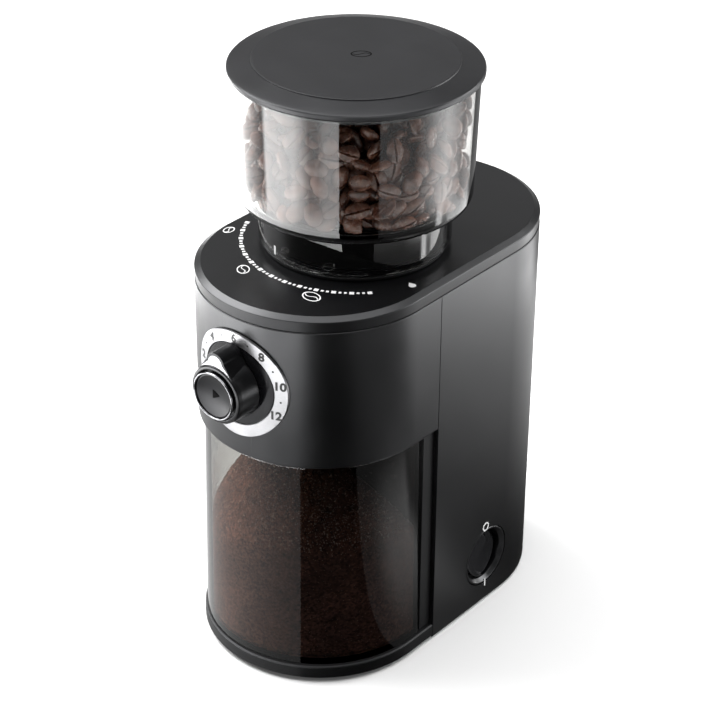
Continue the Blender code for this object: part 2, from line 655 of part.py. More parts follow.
def make_fan(looks, at, axis):
    bore = MOTOR_SHAFT + GAP
    disc_top = FAN_LOW + 1.2
    hub = [(bore, FAN_LOW), (FAN_RADIUS, FAN_LOW), (FAN_RADIUS, disc_top),
           (FAN_HUB, disc_top), (FAN_HUB, FAN_HIGH), (bore, FAN_HIGH)]
    fan = turned("motor_fan", hub, looks["nylon"], HIDDEN, at=at, parent=axis)
    outline = rectangle(FAN_HUB - 1.0, -0.7, FAN_RADIUS - 0.4, 0.7)
    for blade in range(FAN_BLADES):
        turn = Matrix.Rotation(2 * math.pi * blade / FAN_BLADES, 3, "Z")
        bm = slab_mesh(outline, FAN_LOW + 0.6, FAN_HIGH)
        boolean(fan, place("fan_blade", bm, None, at=at, turn=turn, parent=axis), "UNION")


def make_gear_case(looks):
    outline = two_circle_hull(HOPPER_Y, GEAR_PITCH + 4.6, MOTOR_Y, PINION_PITCH + 5.0)
    hollow = two_circle_hull(HOPPER_Y, GEAR_PITCH + 4.6 - CASE_WALL, MOTOR_Y,
                             PINION_PITCH + 5.0 - CASE_WALL)
    case = slab("gear_case", outline, CASE_LOW, CASE_HIGH, looks["nylon"])
    room = slab_mesh(hollow, CASE_LOW + CASE_WALL, CASE_HIGH + 5)
    boolean(case, place("case_hollow", room, None))
    drill_z(case, 0, MOTOR_Y, MOTOR_SHAFT + 2.0, CASE_LOW - 2, CASE_LOW + 4)
    drill_z(case, 0, HOPPER_Y, BEARING_RADIUS, CASE_LOW - 2, CASE_LOW + 4)
    cover = slab("gear_case_cover", outline, CASE_HIGH + GAP, CASE_HIGH + COVER_THICK,
                 looks["nylon"])
    drill_z(cover, 0, HOPPER_Y, SHAFT_RADIUS + 2.0, CASE_HIGH - 2, CASE_HIGH + 5)
    body = BEARING_RADIUS - GAP
    low = CASE_LOW + 0.2
    seat = CASE_LOW + CASE_WALL + GAP
    bearing = [(0, low), (body, low), (body, seat), (BEARING_FLANGE, seat),
               (BEARING_FLANGE, BEARING_TOP), (0, BEARING_TOP)]
    turned("lower_bearing", bearing, looks["brass"], SMALL, at=(0, HOPPER_Y, 0))


# ---- burrs and their drive ---------------------------------------------------------
def burr_mesh(base, facing):
    """A flat ring burr: radial teeth on the side that faces up (1) or down (-1)."""
    bm = bmesh.new()
    rings = []
    for i in range(2 * BURR_TEETH):
        turn = math.pi * i / BURR_TEETH
        level = base + facing * (BURR_THICK - (BURR_TOOTH if i % 2 else 0.0))
        ring = []
        for radius, z in ((BURR_INNER, base), (BURR_OUTER, base), (BURR_OUTER, level),
                          (BURR_INNER, level)):
            ring.append(bm.verts.new((radius * math.cos(turn) * MM,
                                      radius * math.sin(turn) * MM, z * MM)))
        rings.append(ring)
    for first, second in zip(rings, rings[1:] + rings[:1]):
        for j in range(4):
            k = (j + 1) % 4
            bm.faces.new((first[j], first[k], second[k], second[j]))
    return bm


def make_burr_drive(looks):
    at = (0, HOPPER_Y, 0)
    axis = pivot("burr_axis", at)
    shaft_low = BEARING_TOP + GAP
    shaft = [(0, shaft_low), (SHAFT_RADIUS, shaft_low), (SHAFT_RADIUS, SHAFT_TOP - 1.0),
             (SHAFT_RADIUS - 0.8, SHAFT_TOP), (0, SHAFT_TOP)]
    turned("burr_shaft", shaft, looks["steel"], SMALL, at=at, parent=axis)
    make_driven_gear(looks, at, axis)
    neck = 4.7
    flange = 7.0
    low = CHAMBER_LOW - 0.2
    seat = CHAMBER_LOW + WALL + GAP
    high = CHAMBER_LOW + 3.6
    bush = [(BORE_RADIUS, low), (neck, low), (neck, seat), (flange, seat), (flange, high),
            (BORE_RADIUS, high)]
    turned("upper_bearing", bush, looks["brass"], SMALL, at=at)
    make_carrier(looks, at, axis)
    place("lower_burr", burr_mesh(LOWER_BURR_TOP - BURR_THICK, 1), looks["burr"], at=at,
          parent=axis)
    make_feed_screw(looks, at, axis)
    nut = slab("shaft_nut", circle(0, 0, 5.2, 6), FEED_TOP + GAP, FEED_TOP + 4.0,
               looks["steel"], at=at, parent=axis)
    drill_z(nut, 0, HOPPER_Y, BORE_RADIUS, FEED_TOP - 2, FEED_TOP + 8)


def make_driven_gear(looks, at, axis):
    gear = slab("driven_gear", gear_outline(GEAR_TEETH), GEAR_LOW, GEAR_HIGH,
                looks["nylon"], at=at, parent=axis,
                turn=Matrix.Rotation(math.radians(90), 3, "Z"))
    drill_z(gear, 0, HOPPER_Y, BORE_RADIUS, GEAR_LOW - 2, GEAR_HIGH + 2)
    holes = 5
    ring = 17.0
    for hole in range(holes):
        turn = 2 * math.pi * hole / holes
        drill_z(gear, ring * math.cos(turn), HOPPER_Y + ring * math.sin(turn), 5.5,
                GEAR_LOW - 2, GEAR_HIGH + 2, 12)


def make_carrier(looks, at, axis):
    """Disc under the lower burr; its paddles sweep the grounds to the chute."""
    pilot = BURR_INNER - 0.4
    pilot_top = CARRIER_TOP + 3.0
    outline = [(BORE_RADIUS, CARRIER_LOW), (CARRIER_RADIUS, CARRIER_LOW),
               (CARRIER_RADIUS, CARRIER_TOP), (pilot, CARRIER_TOP), (pilot, pilot_top),
               (BORE_RADIUS, pilot_top)]
    disc = turned("burr_carrier", outline, looks["zinc"], HIDDEN, at=at, parent=axis)
    paddle = rectangle(CARRIER_RADIUS - 2.0, -1.6, PADDLE_REACH, 1.6)
    for i in range(PADDLES):
        turn = Matrix.Rotation(2 * math.pi * (i + 0.5) / PADDLES, 3, "Z")
        bm = slab_mesh(paddle, CARRIER_LOW, CARRIER_TOP)
        boolean(disc, place("paddle", bm, None, at=at, turn=turn, parent=axis), "UNION")


def make_feed_screw(looks, at, axis):
    core = [(BORE_RADIUS, FEED_LOW), (6.5, FEED_LOW), (5.5, FEED_TOP),
            (BORE_RADIUS, FEED_TOP)]
    feed = turned("feed_screw", core, looks["zinc"], SMALL, at=at, parent=axis)
    foot = rectangle(4.5, -1.3, 12.5, 1.3)
    tip = rectangle(4.5, 1.2, 9.5, 3.6)
    for wing in range(FEED_WINGS):
        turn = Matrix.Rotation(2 * math.pi * wing / FEED_WINGS, 3, "Z")
        bm = loft_mesh([(foot, FEED_LOW + 0.7), (tip, FEED_TOP - 1.5)])
        boolean(feed, place("feed_wing", bm, None, at=at, turn=turn, parent=axis), "UNION")


def make_chamber(looks):
    at = (0, HOPPER_Y, 0)
    floor = CHAMBER_LOW + WALL
    hole = 5.0
    cup = [(hole, CHAMBER_LOW), (CHAMBER_RADIUS, CHAMBER_LOW),
           (CHAMBER_RADIUS, CHAMBER_TOP), (CHAMBER_BORE, CHAMBER_TOP),
           (CHAMBER_BORE, floor), (hole, floor)]
    chamber = turned("grinding_chamber", cup[::-1], looks["nylon"], ROUND, at=at)
    add_box(chamber, (-CHUTE_HALF_WIDTH, CHUTE_FRONT, CHUTE_LOW),
            (CHUTE_HALF_WIDTH, CHUTE_BACK, CHUTE_TOP))
    inside = CHUTE_HALF_WIDTH - CHUTE_WALL
    cut_box(chamber, (-inside, CHUTE_FRONT + CHUTE_WALL, CHUTE_LOW - 5),
            (inside, CHUTE_BACK - CHUTE_WALL, CHUTE_TOP - CHUTE_WALL))
    cut_box(chamber, (-inside, CHUTE_FRONT + CHUTE_WALL, floor + 0.2),
            (inside, HOPPER_Y - 26, CHUTE_TOP - CHUTE_WALL))
    seal = rectangle(CHAMBER_BORE + GAP, CHAMBER_TOP + GAP, 36.0, BODY_TOP - WALL - GAP)
    turned("chamber_seal", seal, looks["rubber"], HIDDEN, at=at)


def make_grind_setting(looks):
    at = (0, HOPPER_Y, 0)
    ring_axis = pivot("grind_axis", at)
    inner = 31.4
    thread = MOUTH_RADIUS - 1.0
    flange = 37.6
    low = 152.5
    ring = [(inner, low), (thread, low), (thread, BODY_TOP + GAP), (flange, BODY_TOP + GAP),
            (flange, NECK_LOW - GAP), (inner, NECK_LOW - GAP)]
    turned("adjusting_ring", ring, looks["black"], ROUND, at=at, parent=ring_axis)
    lift_axis = pivot("upper_burr_axis", at, ring_axis)
    back = LOWER_BURR_TOP + BURR_GAP + BURR_THICK
    place("upper_burr", burr_mesh(back, -1), looks["burr"], at=at, parent=lift_axis)
    seat = back + GAP
    outside = inner - 0.5
    inside = outside - 2.1
    top = CHAMBER_TOP - 1.0
    holder = [(BURR_INNER, seat), (outside - 0.9, seat), (outside, seat + 3.0),
              (outside, top), (inside, top), (inside, seat + 8.0),
              (BURR_INNER, seat + 2.2)]
    turned("upper_burr_holder", holder, looks["zinc"], HIDDEN, at=at, parent=lift_axis)
    return ring_axis


# ---- hopper, lid and container -----------------------------------------------------
def make_hopper(looks, ring_axis):
    at = (0, HOPPER_Y, 0)
    axis = pivot("hopper_axis", at, ring_axis)
    corner = 7.5
    foot = 2.0
    neck_in = NECK_RADIUS - CLEAR_WALL
    corner_x = BOWL_RADIUS_LOW - corner + 0.3
    corner_z = BOWL_LOW + corner
    outside = [(BOWL_RADIUS_TOP, BOWL_TOP)]
    outside += arc(corner_x, corner_z, corner, 0, -90, 3)
    outside += [(NECK_RADIUS, BOWL_LOW - 1.0)]
    outside += arc(NECK_RADIUS - foot, NECK_LOW + foot, foot, 0, -90, 2)
    mouth = NECK_RADIUS - 4.5
    inside = [(mouth, NECK_LOW), (mouth, NECK_LOW + CLEAR_WALL),
              (neck_in, NECK_LOW + CLEAR_WALL + 1.0), (neck_in, BOWL_LOW + CLEAR_WALL)]
    inside += arc(corner_x, corner_z, corner - CLEAR_WALL, -90, 0, 3)
    inside += [(BOWL_RADIUS_TOP - CLEAR_WALL, BOWL_TOP)]
    turned("hopper_bowl", outside + inside, looks["clear"], ROUND, at=at, parent=axis)
    outer = neck_in - GAP
    inner = neck_in - 1.8
    low = NECK_LOW + CLEAR_WALL + GAP + 1.0
    high = BOWL_LOW + 2.0
    funnel = [(26.0, low), (28.0, low), (outer, BOWL_LOW - 6.0), (outer, high),
              (inner, high), (inner, BOWL_LOW - 5.2)]
    turned("hopper_funnel", funnel, looks["black"], ROUND, at=at, parent=axis)
    make_lid(looks, at, pivot("lid_axis", at, axis))


def make_lid(looks, at, axis):
    """Stepped disc with a sloping ring, and a thin plug that drops into the bowl."""
    plug = BOWL_RADIUS_TOP - CLEAR_WALL - 0.7
    plug_low = BOWL_TOP - 6.0
    under = BOWL_TOP + GAP
    outline = [(0, LID_TOP), (LID_DISC_RADIUS - 0.6, LID_TOP),
               (LID_DISC_RADIUS, LID_TOP - 0.5), (LID_RADIUS, LID_EDGE),
               (LID_RADIUS, under), (plug, under), (plug - 0.3, plug_low),
               (plug - 2.2, plug_low), (plug - 2.0, BOWL_TOP + 0.8), (0, BOWL_TOP + 2.6)]
    turned("hopper_lid", outline[::-1], looks["black"], ROUND, at=at, parent=axis)


def container_outline(inset, back, corner, steps=ROUND // 2):
    """The bay's plan in front of y = back, with small rounded rear corners."""
    half = BODY_RADIUS - inset
    left = arc(-half + corner, back - corner, corner, 90, 180, 3)
    right = arc(half - corner, back - corner, corner, 0, 90, 3)
    return left + arc(0, FRONT_Y, half, -180, 0, steps) + right


def make_container(looks):
    low = BASE_TOP + GAP
    back = BAY_Y - CONTAINER_GAP
    corner = 2.5
    outer = [(container_outline(CONTAINER_INSET_LOW, back, corner), low),
             (container_outline(CONTAINER_INSET_TOP, back, corner), CONTAINER_TOP)]
    axis = pivot("container_axis", (0, FRONT_Y, low))
    container = place("grounds_container", loft_mesh(outer), looks["clear"], parent=axis)
    wall = CONTAINER_WALL
    floor = low + CONTAINER_FLOOR
    corner = 1.2
    inner = [(container_outline(CONTAINER_INSET_LOW + wall, back - wall, corner), floor),
             (container_outline(CONTAINER_INSET_TOP + wall, back - wall, corner),
              CONTAINER_TOP + 2)]
    boolean(container, place("container_hollow", loft_mesh(inner), None, parent=axis))


def main():
    for obj in list(bpy.data.objects):
        bpy.data.objects.remove(obj, do_unlink=True)
    looks = make_materials()
    make_base(looks)
    make_rear_housing(looks)
    make_front_housing(looks)
    make_top_cover(looks)
    make_bay_wall(looks)
    make_dial(looks)
    make_selector(looks)
    make_electronics(looks)
    make_switch(looks)
    make_inlet(looks)
    make_interlock(looks)
    make_motor(looks)
    make_gear_case(looks)
    make_burr_drive(looks)
    make_chamber(looks)
    make_hopper(looks, make_grind_setting(looks))
    make_container(looks)


main()
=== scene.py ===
"""Looks of the burr coffee grinder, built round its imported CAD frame.

Sizes are in millimetres, read from the CAD nodes' boxes where a node has that size;
mesh coordinates are written in metres. The front (dial, grounds container) faces -Y.
"""
import math
import random

import bmesh
import bpy
import numpy as np
from mathutils import Matrix, Vector, noise


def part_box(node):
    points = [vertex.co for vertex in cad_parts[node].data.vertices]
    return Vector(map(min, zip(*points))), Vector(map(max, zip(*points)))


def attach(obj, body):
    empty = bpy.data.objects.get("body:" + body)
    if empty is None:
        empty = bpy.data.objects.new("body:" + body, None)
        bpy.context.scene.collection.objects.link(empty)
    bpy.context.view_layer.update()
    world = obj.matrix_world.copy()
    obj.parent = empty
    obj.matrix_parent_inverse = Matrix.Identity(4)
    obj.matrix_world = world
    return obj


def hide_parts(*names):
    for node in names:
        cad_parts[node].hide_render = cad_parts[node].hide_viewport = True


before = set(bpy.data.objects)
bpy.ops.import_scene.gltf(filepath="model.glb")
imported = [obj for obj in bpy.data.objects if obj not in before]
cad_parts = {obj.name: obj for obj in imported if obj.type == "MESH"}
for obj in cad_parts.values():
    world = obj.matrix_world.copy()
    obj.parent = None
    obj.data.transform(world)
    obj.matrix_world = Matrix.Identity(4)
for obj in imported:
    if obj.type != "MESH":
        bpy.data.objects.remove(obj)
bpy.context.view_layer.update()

MM = 0.001


def box(node):
    """A CAD node's lowest and highest corners, in mm."""
    low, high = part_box(node)
    return Vector(low) / MM, Vector(high) / MM


# ---- sizes and places read from the frame (mm) ----
COVER_LOW, COVER_HIGH = box("top_cover")
REAR_LOW, REAR_HIGH = box("rear_housing")
FRONT_LOW, FRONT_HIGH = box("front_housing")
BASE_LOW, BASE_HIGH = box("base_plate")
BOWL_LOW, BOWL_HIGH = box("hopper_bowl")
LID_LOW, LID_HIGH = box("hopper_lid")
JAR_LOW, JAR_HIGH = box("grounds_container")
RING_LOW, RING_HIGH = box("dial_ring")
BEZEL_LOW, BEZEL_HIGH = box("switch_bezel")

RADIUS = (COVER_HIGH.x - COVER_LOW.x) / 2       # the body's half width
FRONT_Y = COVER_LOW.y + RADIUS                  # centres of its two round ends
REAR_Y = COVER_HIGH.y - RADIUS
APEX_Y = COVER_LOW.y
SEAM_Y = REAR_LOW.y
BODY_TOP = COVER_HIGH.z
HOPPER_Y = (BOWL_LOW.y + BOWL_HIGH.y) / 2
DIAL_Z = (RING_LOW.z + RING_HIGH.z) / 2
SWITCH_Y = (BEZEL_LOW.y + BEZEL_HIGH.y) / 2
SWITCH_Z = (BEZEL_LOW.z + BEZEL_HIGH.z) / 2
ARC_STEPS = 72                                  # sides of a half circle in plan
ROUND = 160                                     # sides of a full turn
PIECES = []                                     # the meshes made here


# ---- outlines ----
def around(radius, degrees, x=0.0, y=0.0):
    """A point on a circle about (x, y)."""
    turn = math.radians(degrees)
    return x + radius * math.cos(turn), y + radius * math.sin(turn)


def arc(radius, start, end, steps, x=0.0, y=0.0):
    """Points along a circle about (x, y), angles in degrees."""
    return [around(radius, start + (end - start) * i / steps, x, y) for i in range(steps + 1)]


def circle(radius, steps):
    return [(radius * math.cos(2 * math.pi * i / steps),
             radius * math.sin(2 * math.pi * i / steps)) for i in range(steps)]


def rounded(corners, closed=True, steps=5):
    """A polyline whose corners (x, y, fillet radius) become arcs."""
    points = []
    count = len(corners)
    for i, corner in enumerate(corners):
        here = Vector(corner[:2])
        radius = corner[2] if len(corner) > 2 else 0.0
        if radius <= 0 or (not closed and i in (0, count - 1)):
            points.append(tuple(here))
            continue
        before = Vector(corners[i - 1][:2]) - here
        after = Vector(corners[(i + 1) % count][:2]) - here
        half = before.angle(after) / 2
        reach = min(radius / math.tan(half), before.length * 0.49, after.length * 0.49)
        start = here + before.normalized() * reach
        end = here + after.normalized() * reach
        bisector = (before.normalized() + after.normalized()).normalized()
        centre = here + bisector * (reach / math.cos(half))
        first, last = start - centre, end - centre
        sweep = first.angle_signed(last)
        for step in range(steps + 1):
            turned_to = first.copy()
            turned_to.rotate(Matrix.Rotation(-sweep * step / steps, 2))
            points.append(tuple(centre + turned_to))
    return points


def half_path(edge, centre, sweep):
    """One round end of the body, from +X to -X and cut off at y = edge.

    Each item is a point and its outward normal, in plan.
    """
    normals = arc(1.0, 0, sweep, ARC_STEPS)
    curve = [(RADIUS * x, centre + RADIUS * y, x, y) for x, y in normals]
    return [(RADIUS, edge, 1, 0)] + curve + [(-RADIUS, edge, -1, 0)]


def front_path(back):
    return half_path(back, FRONT_Y, -180)


def rear_path(front):
    return half_path(front, REAR_Y, 180)


def inset_outline(path, inset):
    return [(x - inset * out_x, y - inset * out_y) for x, y, out_x, out_y in path]


def body_reach(turn, inset):
    """Distance from the hopper axis to the body's inset outline, at an angle."""
    size = RADIUS - inset
    side = abs(math.cos(turn))
    if side > 1e-6:
        reach = size / side
        if FRONT_Y <= HOPPER_Y + reach * math.sin(turn) <= REAR_Y:
            return reach
    offset = (REAR_Y if math.sin(turn) > 0 else FRONT_Y) - HOPPER_Y
    along = offset * math.sin(turn)
    return along + math.sqrt(along * along + size * size - offset * offset)


def blend(value, start, end):
    """0 before start, 1 after end, smooth between."""
    part = min(1.0, max(0.0, (value - start) / (end - start)))
    return part * part * (3 - 2 * part)


# ---- mesh building ----
def linked(name, data):
    item = bpy.data.objects.new(name, data)
    bpy.context.scene.collection.objects.link(item)
    return item


def to_object(name, bm):
    """Turn a bmesh in mm into a mesh object in metres."""
    bmesh.ops.scale(bm, vec=(MM, MM, MM), verts=bm.verts)
    mesh = bpy.data.meshes.new(name)
    bm.to_mesh(mesh)
    bm.free()
    return linked(name, mesh)


def finish_mesh(name, bm, look, body, replaces=(), sharp=35):
    """Turn a bmesh in mm into a piece that rides on a body; look is a key of LOOKS."""
    bmesh.ops.recalc_face_normals(bm, faces=bm.faces)
    piece = to_object(name, bm)
    piece.data.shade_smooth()
    piece.data.set_sharp_from_angle(angle=math.radians(sharp))
    piece.data.materials.append(LOOKS[look])
    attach(piece, body)
    PIECES.append(piece)
    if replaces:
        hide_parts(*replaces)
    return piece


def skin_rings(bm, rings, loop=True, tube=False):
    """Faces between rings of vertices; loop closes each ring, tube joins last to first."""
    pairs = list(zip(rings, rings[1:]))
    if tube:
        pairs.append((rings[-1], rings[0]))
    for low, high in pairs:
        count = len(low)
        for i in range(count if loop else count - 1):
            j = (i + 1) % count
            corners = []
            for vert in (low[i], low[j], high[j], high[i]):
                if vert not in corners:
                    corners.append(vert)
            if len(corners) > 2:
                bm.faces.new(corners)


def skin_solid(bm, rings):
    """Faces between rings of vertices, with the two end rings filled."""
    skin_rings(bm, rings)
    bm.faces.new(rings[0])
    bm.faces.new(rings[-1])


def turned(profile, steps=ROUND, matrix=Matrix.Identity(4)):
    """A (radius, height) outline turned about Z, closed unless it ends on the axis."""
    bm = bmesh.new()
    open_ended = profile[0][0] < 1e-6 and profile[-1][0] < 1e-6
    rings = []
    for radius, height in profile:
        if radius < 1e-6:
            rings.append([bm.verts.new((0, 0, height))] * steps)
        else:
            rings.append([bm.verts.new((x, y, height)) for x, y in circle(radius, steps)])
    skin_rings(bm, rings, tube=not open_ended)
    bmesh.ops.transform(bm, matrix=matrix, verts=bm.verts)
    return bm


def swept(path, profile):
    """A closed (inset, height) profile carried along a plan path of points and normals."""
    bm = bmesh.new()
    skin_solid(bm, [[bm.verts.new((x - inset * out_x, y - inset * out_y, z))
                     for inset, z in profile] for x, y, out_x, out_y in path])
    return bm


def prism(outline, low, high, matrix=Matrix.Identity(4)):
    """A flat outline raised from z = low to z = high."""
    bm = bmesh.new()
    skin_solid(bm, [[bm.verts.new((x, y, z)) for x, y in outline] for z in (low, high)])
    bmesh.ops.transform(bm, matrix=matrix, verts=bm.verts)
    return bm


def merged(*parts):
    """Several bmeshes in one."""
    whole = bmesh.new()
    for part in parts:
        mesh = bpy.data.meshes.new("part")
        part.to_mesh(mesh)
        part.free()
        whole.from_mesh(mesh)
        bpy.data.meshes.remove(mesh)
    return whole


def bevelled(piece, width, segments=2, angle=40):
    """Small rounded edges, as moulding leaves them."""
    bevel = piece.modifiers.new("Edges", "BEVEL")
    bevel.width = width * MM
    bevel.segments = segments
    bevel.limit_method = "ANGLE"
    bevel.angle_limit = math.radians(angle)
    bevel.harden_normals = True


def cut(piece, bm):
    """Cut a hole, in mm, and apply it."""
    bmesh.ops.recalc_face_normals(bm, faces=bm.faces)
    cutter = to_object("cutter", bm)
    change = piece.modifiers.new("Hole", "BOOLEAN")
    change.object = cutter
    change.solver = "EXACT"
    graph = bpy.context.evaluated_depsgraph_get()
    cut_mesh = bpy.data.meshes.new_from_object(piece.evaluated_get(graph))
    piece.modifiers.remove(change)
    piece.data = cut_mesh
    cut_mesh.set_sharp_from_angle(angle=math.radians(35))
    bpy.data.objects.remove(cutter)


def outline_mesh(outline):
    """A flat filled outline."""
    bm = bmesh.new()
    bm.faces.new([bm.verts.new((x, y, 0)) for x, y in outline])
    return bm


def ring_outline(outer, inner, steps, stretch=1.0):
    """A flat ring, stretched along X."""
    bm = bmesh.new()
    skin_rings(bm, [[bm.verts.new((stretch * x, y, 0)) for x, y in circle(radius, steps)]
                    for radius in (outer, inner)])
    return bm


def thicken(bm, height):
    """Raise flat faces into a thin print with its own sides."""
    bmesh.ops.remove_doubles(bm, verts=bm.verts, dist=0.001)
    raised = bmesh.ops.extrude_face_region(bm, geom=bm.faces[:])["geom"]
    bmesh.ops.translate(bm, verts=[item for item in raised
                                   if isinstance(item, bmesh.types.BMVert)], vec=(0, 0, height))
    return bm


def placed(bm, x, y, turn=0.0):
    matrix = Matrix.Translation((x, y, 0)) @ Matrix.Rotation(math.radians(turn), 4, "Z")
    bmesh.ops.transform(bm, matrix=matrix, verts=bm.verts)
    return bm


# Frames to build in: the hopper's upright axis, then the dial's and the switch's, where +Z
# points out of the surface and +Y up.
AT_HOPPER = Matrix.Translation((0, HOPPER_Y, 0))
AT_DIAL = Matrix.Translation((0, APEX_Y, DIAL_Z)) @ Matrix.Rotation(math.radians(90), 4, "X")
SIDE_TURN = Matrix(((0, 0, 1, 0), (1, 0, 0, 0), (0, 1, 0, 0), (0, 0, 0, 1)))
AT_SWITCH = Matrix.Translation((RADIUS, SWITCH_Y, SWITCH_Z)) @ SIDE_TURN


# ---- materials ----
def set_inputs(node, values):
    for socket, value in values.items():
        node.inputs[socket].default_value = value
    return node


def add_node(tree, kind, **values):
    return set_inputs(tree.nodes.new("ShaderNode" + kind), values)


def new_look(name, **values):
    """A material; a value's name is its socket's, with _ for each space."""
    look = bpy.data.materials.new(name)
    look.use_nodes = True
    tree = look.node_tree
    shader = tree.nodes["Principled BSDF"]
    set_inputs(shader, {socket.replace("_", " "): value for socket, value in values.items()})
    return look, tree, shader


def noise_in(tree, scale, detail=3.0, roughness=0.55, stretch=(1, 1, 1)):
    """3-D noise in object space; scale is in cycles per metre."""
    place = add_node(tree, "TexCoord")
    mapping = add_node(tree, "Mapping", Scale=stretch)
    texture = add_node(tree, "TexNoise", Scale=scale, Detail=detail, Roughness=roughness)
    tree.links.new(place.outputs["Object"], mapping.inputs["Vector"])
    tree.links.new(mapping.outputs["Vector"], texture.inputs["Vector"])
    return texture.outputs["Fac"]


def ramp(tree, source, stops, target=None):
    """A colour ramp from a socket to a socket: stops are (position, colour or grey)."""
    node = add_node(tree, "ValToRGB")
    while len(node.color_ramp.elements) < len(stops):
        node.color_ramp.elements.new(0.5)
    for element, (position, colour) in zip(node.color_ramp.elements, stops):
        element.position = position
        if not isinstance(colour, tuple):
            colour = (colour,) * 3
        element.color = (*colour, 1)
    tree.links.new(source, node.inputs["Fac"])
    if target:
        tree.links.new(node.outputs["Color"], target)
    return node.outputs["Color"]


def multiply(tree, first, second):
    mix = add_node(tree, "Mix")
    mix.data_type = "RGBA"
    mix.blend_type = "MULTIPLY"
    mix.inputs["Factor"].default_value = 1.0
    tree.links.new(first, mix.inputs["A"])
    tree.links.new(second, mix.inputs["B"])
    return mix.outputs["Result"]


def mix_shaders(tree, factor, first, second):
    mix = add_node(tree, "MixShader")
    tree.links.new(factor, mix.inputs["Fac"])
    tree.links.new(first, mix.inputs[1])
    tree.links.new(second, mix.inputs[2])
    return mix.outputs["Shader"]


def add_bump(tree, shader, height, distance, strength=1.0):
    """Surface relief from a socket; distance is in mm."""
    bump = add_node(tree, "Bump", Distance=distance * MM, Strength=strength)
    tree.links.new(height, bump.inputs["Height"])
    tree.links.new(bump.outputs["Normal"], shader.inputs["Normal"])


def moulded(name, dark, light, rough, depth=0.012, shine=0.5):
    """Moulded plastic: fine spark-eroded grain, slightly uneven colour and gloss."""
    look, tree, shader = new_look(name, IOR=1.52, Specular_IOR_Level=shine,
                                  Specular_Tint=(0.96, 0.97, 1.0, 1))
    ramp(tree, noise_in(tree, 38.0, 4.0), [(0.32, dark), (0.70, light)],
         shader.inputs["Base Color"])
    ramp(tree, noise_in(tree, 60.0, 2.0), [(0.3, rough - 0.02), (0.7, rough + 0.03)],
         shader.inputs["Roughness"])
    if depth:
        add_bump(tree, shader, noise_in(tree, 2200.0, 2.0), depth)
    return look


def metal(name, dark, light, rough, brush=(1, 1, 1), depth=0.004, scale=900.0):
    """Metal with a fine drawn or ground texture along one direction."""
    look, tree, shader = new_look(name, Metallic=1.0)
    lines = noise_in(tree, scale, 3.0, 0.6, brush)
    ramp(tree, lines, [(0.3, dark), (0.7, light)], shader.inputs["Base Color"])
    ramp(tree, noise_in(tree, 130.0, 4.0), [(0.3, rough - 0.05), (0.7, rough + 0.07)],
         shader.inputs["Roughness"])
    add_bump(tree, shader, lines, depth)
    return look


def clear_plastic(name, tint, edge):
    """Clear moulded plastic, darker where the eye looks along the wall.

    Its inner face has no second reflection, and lamps shine straight through it.
    """
    optics = {"IOR": 1.46, "Roughness": 0.02}
    look, tree, shader = new_look(name, Transmission_Weight=1.0, **optics)
    facing = add_node(tree, "LayerWeight", Blend=0.35)
    colour = ramp(tree, facing.outputs["Facing"], [(0.0, tint), (0.35, tint), (0.75, edge)],
                  shader.inputs["Base Color"])
    add_bump(tree, shader, noise_in(tree, 60.0, 2.0), 0.02, 0.25)
    leaving = add_node(tree, "BsdfRefraction", **optics)
    tree.links.new(colour, leaving.inputs["Color"])
    side = add_node(tree, "NewGeometry")
    wall = mix_shaders(tree, side.outputs["Backfacing"], shader.outputs["BSDF"],
                       leaving.outputs["BSDF"])
    path = add_node(tree, "LightPath")
    open_air = add_node(tree, "BsdfTransparent", Color=(0.96, 0.96, 0.96, 1))
    surface = mix_shaders(tree, path.outputs["Is Shadow Ray"], wall, open_air.outputs["BSDF"])
    tree.links.new(surface, tree.nodes["Material Output"].inputs["Surface"])
    return look


def ink(name, colour):
    look, tree, shader = new_look(name, Roughness=0.5)
    ramp(tree, noise_in(tree, 700.0, 2.0), [(0.25, tuple(c * 0.88 for c in colour)), (0.6, colour)],
         shader.inputs["Base Color"])
    return look


def deep_black(name):
    """Matt black that stays dark behind clear walls."""
    look, tree, shader = new_look(name, Roughness=0.8, Specular_IOR_Level=0.06)
    ramp(tree, noise_in(tree, 300.0), [(0.3, 0.0012), (0.7, 0.0025)],
         shader.inputs["Base Color"])
    add_bump(tree, shader, noise_in(tree, 1800.0), 0.01)
    return look


def roasted(name):
    """Roasted bean skin: brown, mottled, with an oily sheen and fine wrinkles."""
    look, tree, shader = new_look(name, Specular_IOR_Level=0.6)
    ramp(tree, noise_in(tree, 240.0, 5.0, 0.6),
         [(0.25, (0.024, 0.009, 0.005)), (0.5, (0.085, 0.033, 0.020)),
          (0.78, (0.20, 0.095, 0.062))], shader.inputs["Base Color"])
    ramp(tree, noise_in(tree, 500.0, 3.0), [(0.3, 0.16), (0.7, 0.34)],
         shader.inputs["Roughness"])
    add_bump(tree, shader, noise_in(tree, 900.0, 4.0), 0.12, 0.6)
    return look


# painted shade: the coffee is painted darker towards +X, the side away from the left lamp
PAINTED_SHADE_X = (-12, 26)       # the ground coffee turns darker between these X (mm)


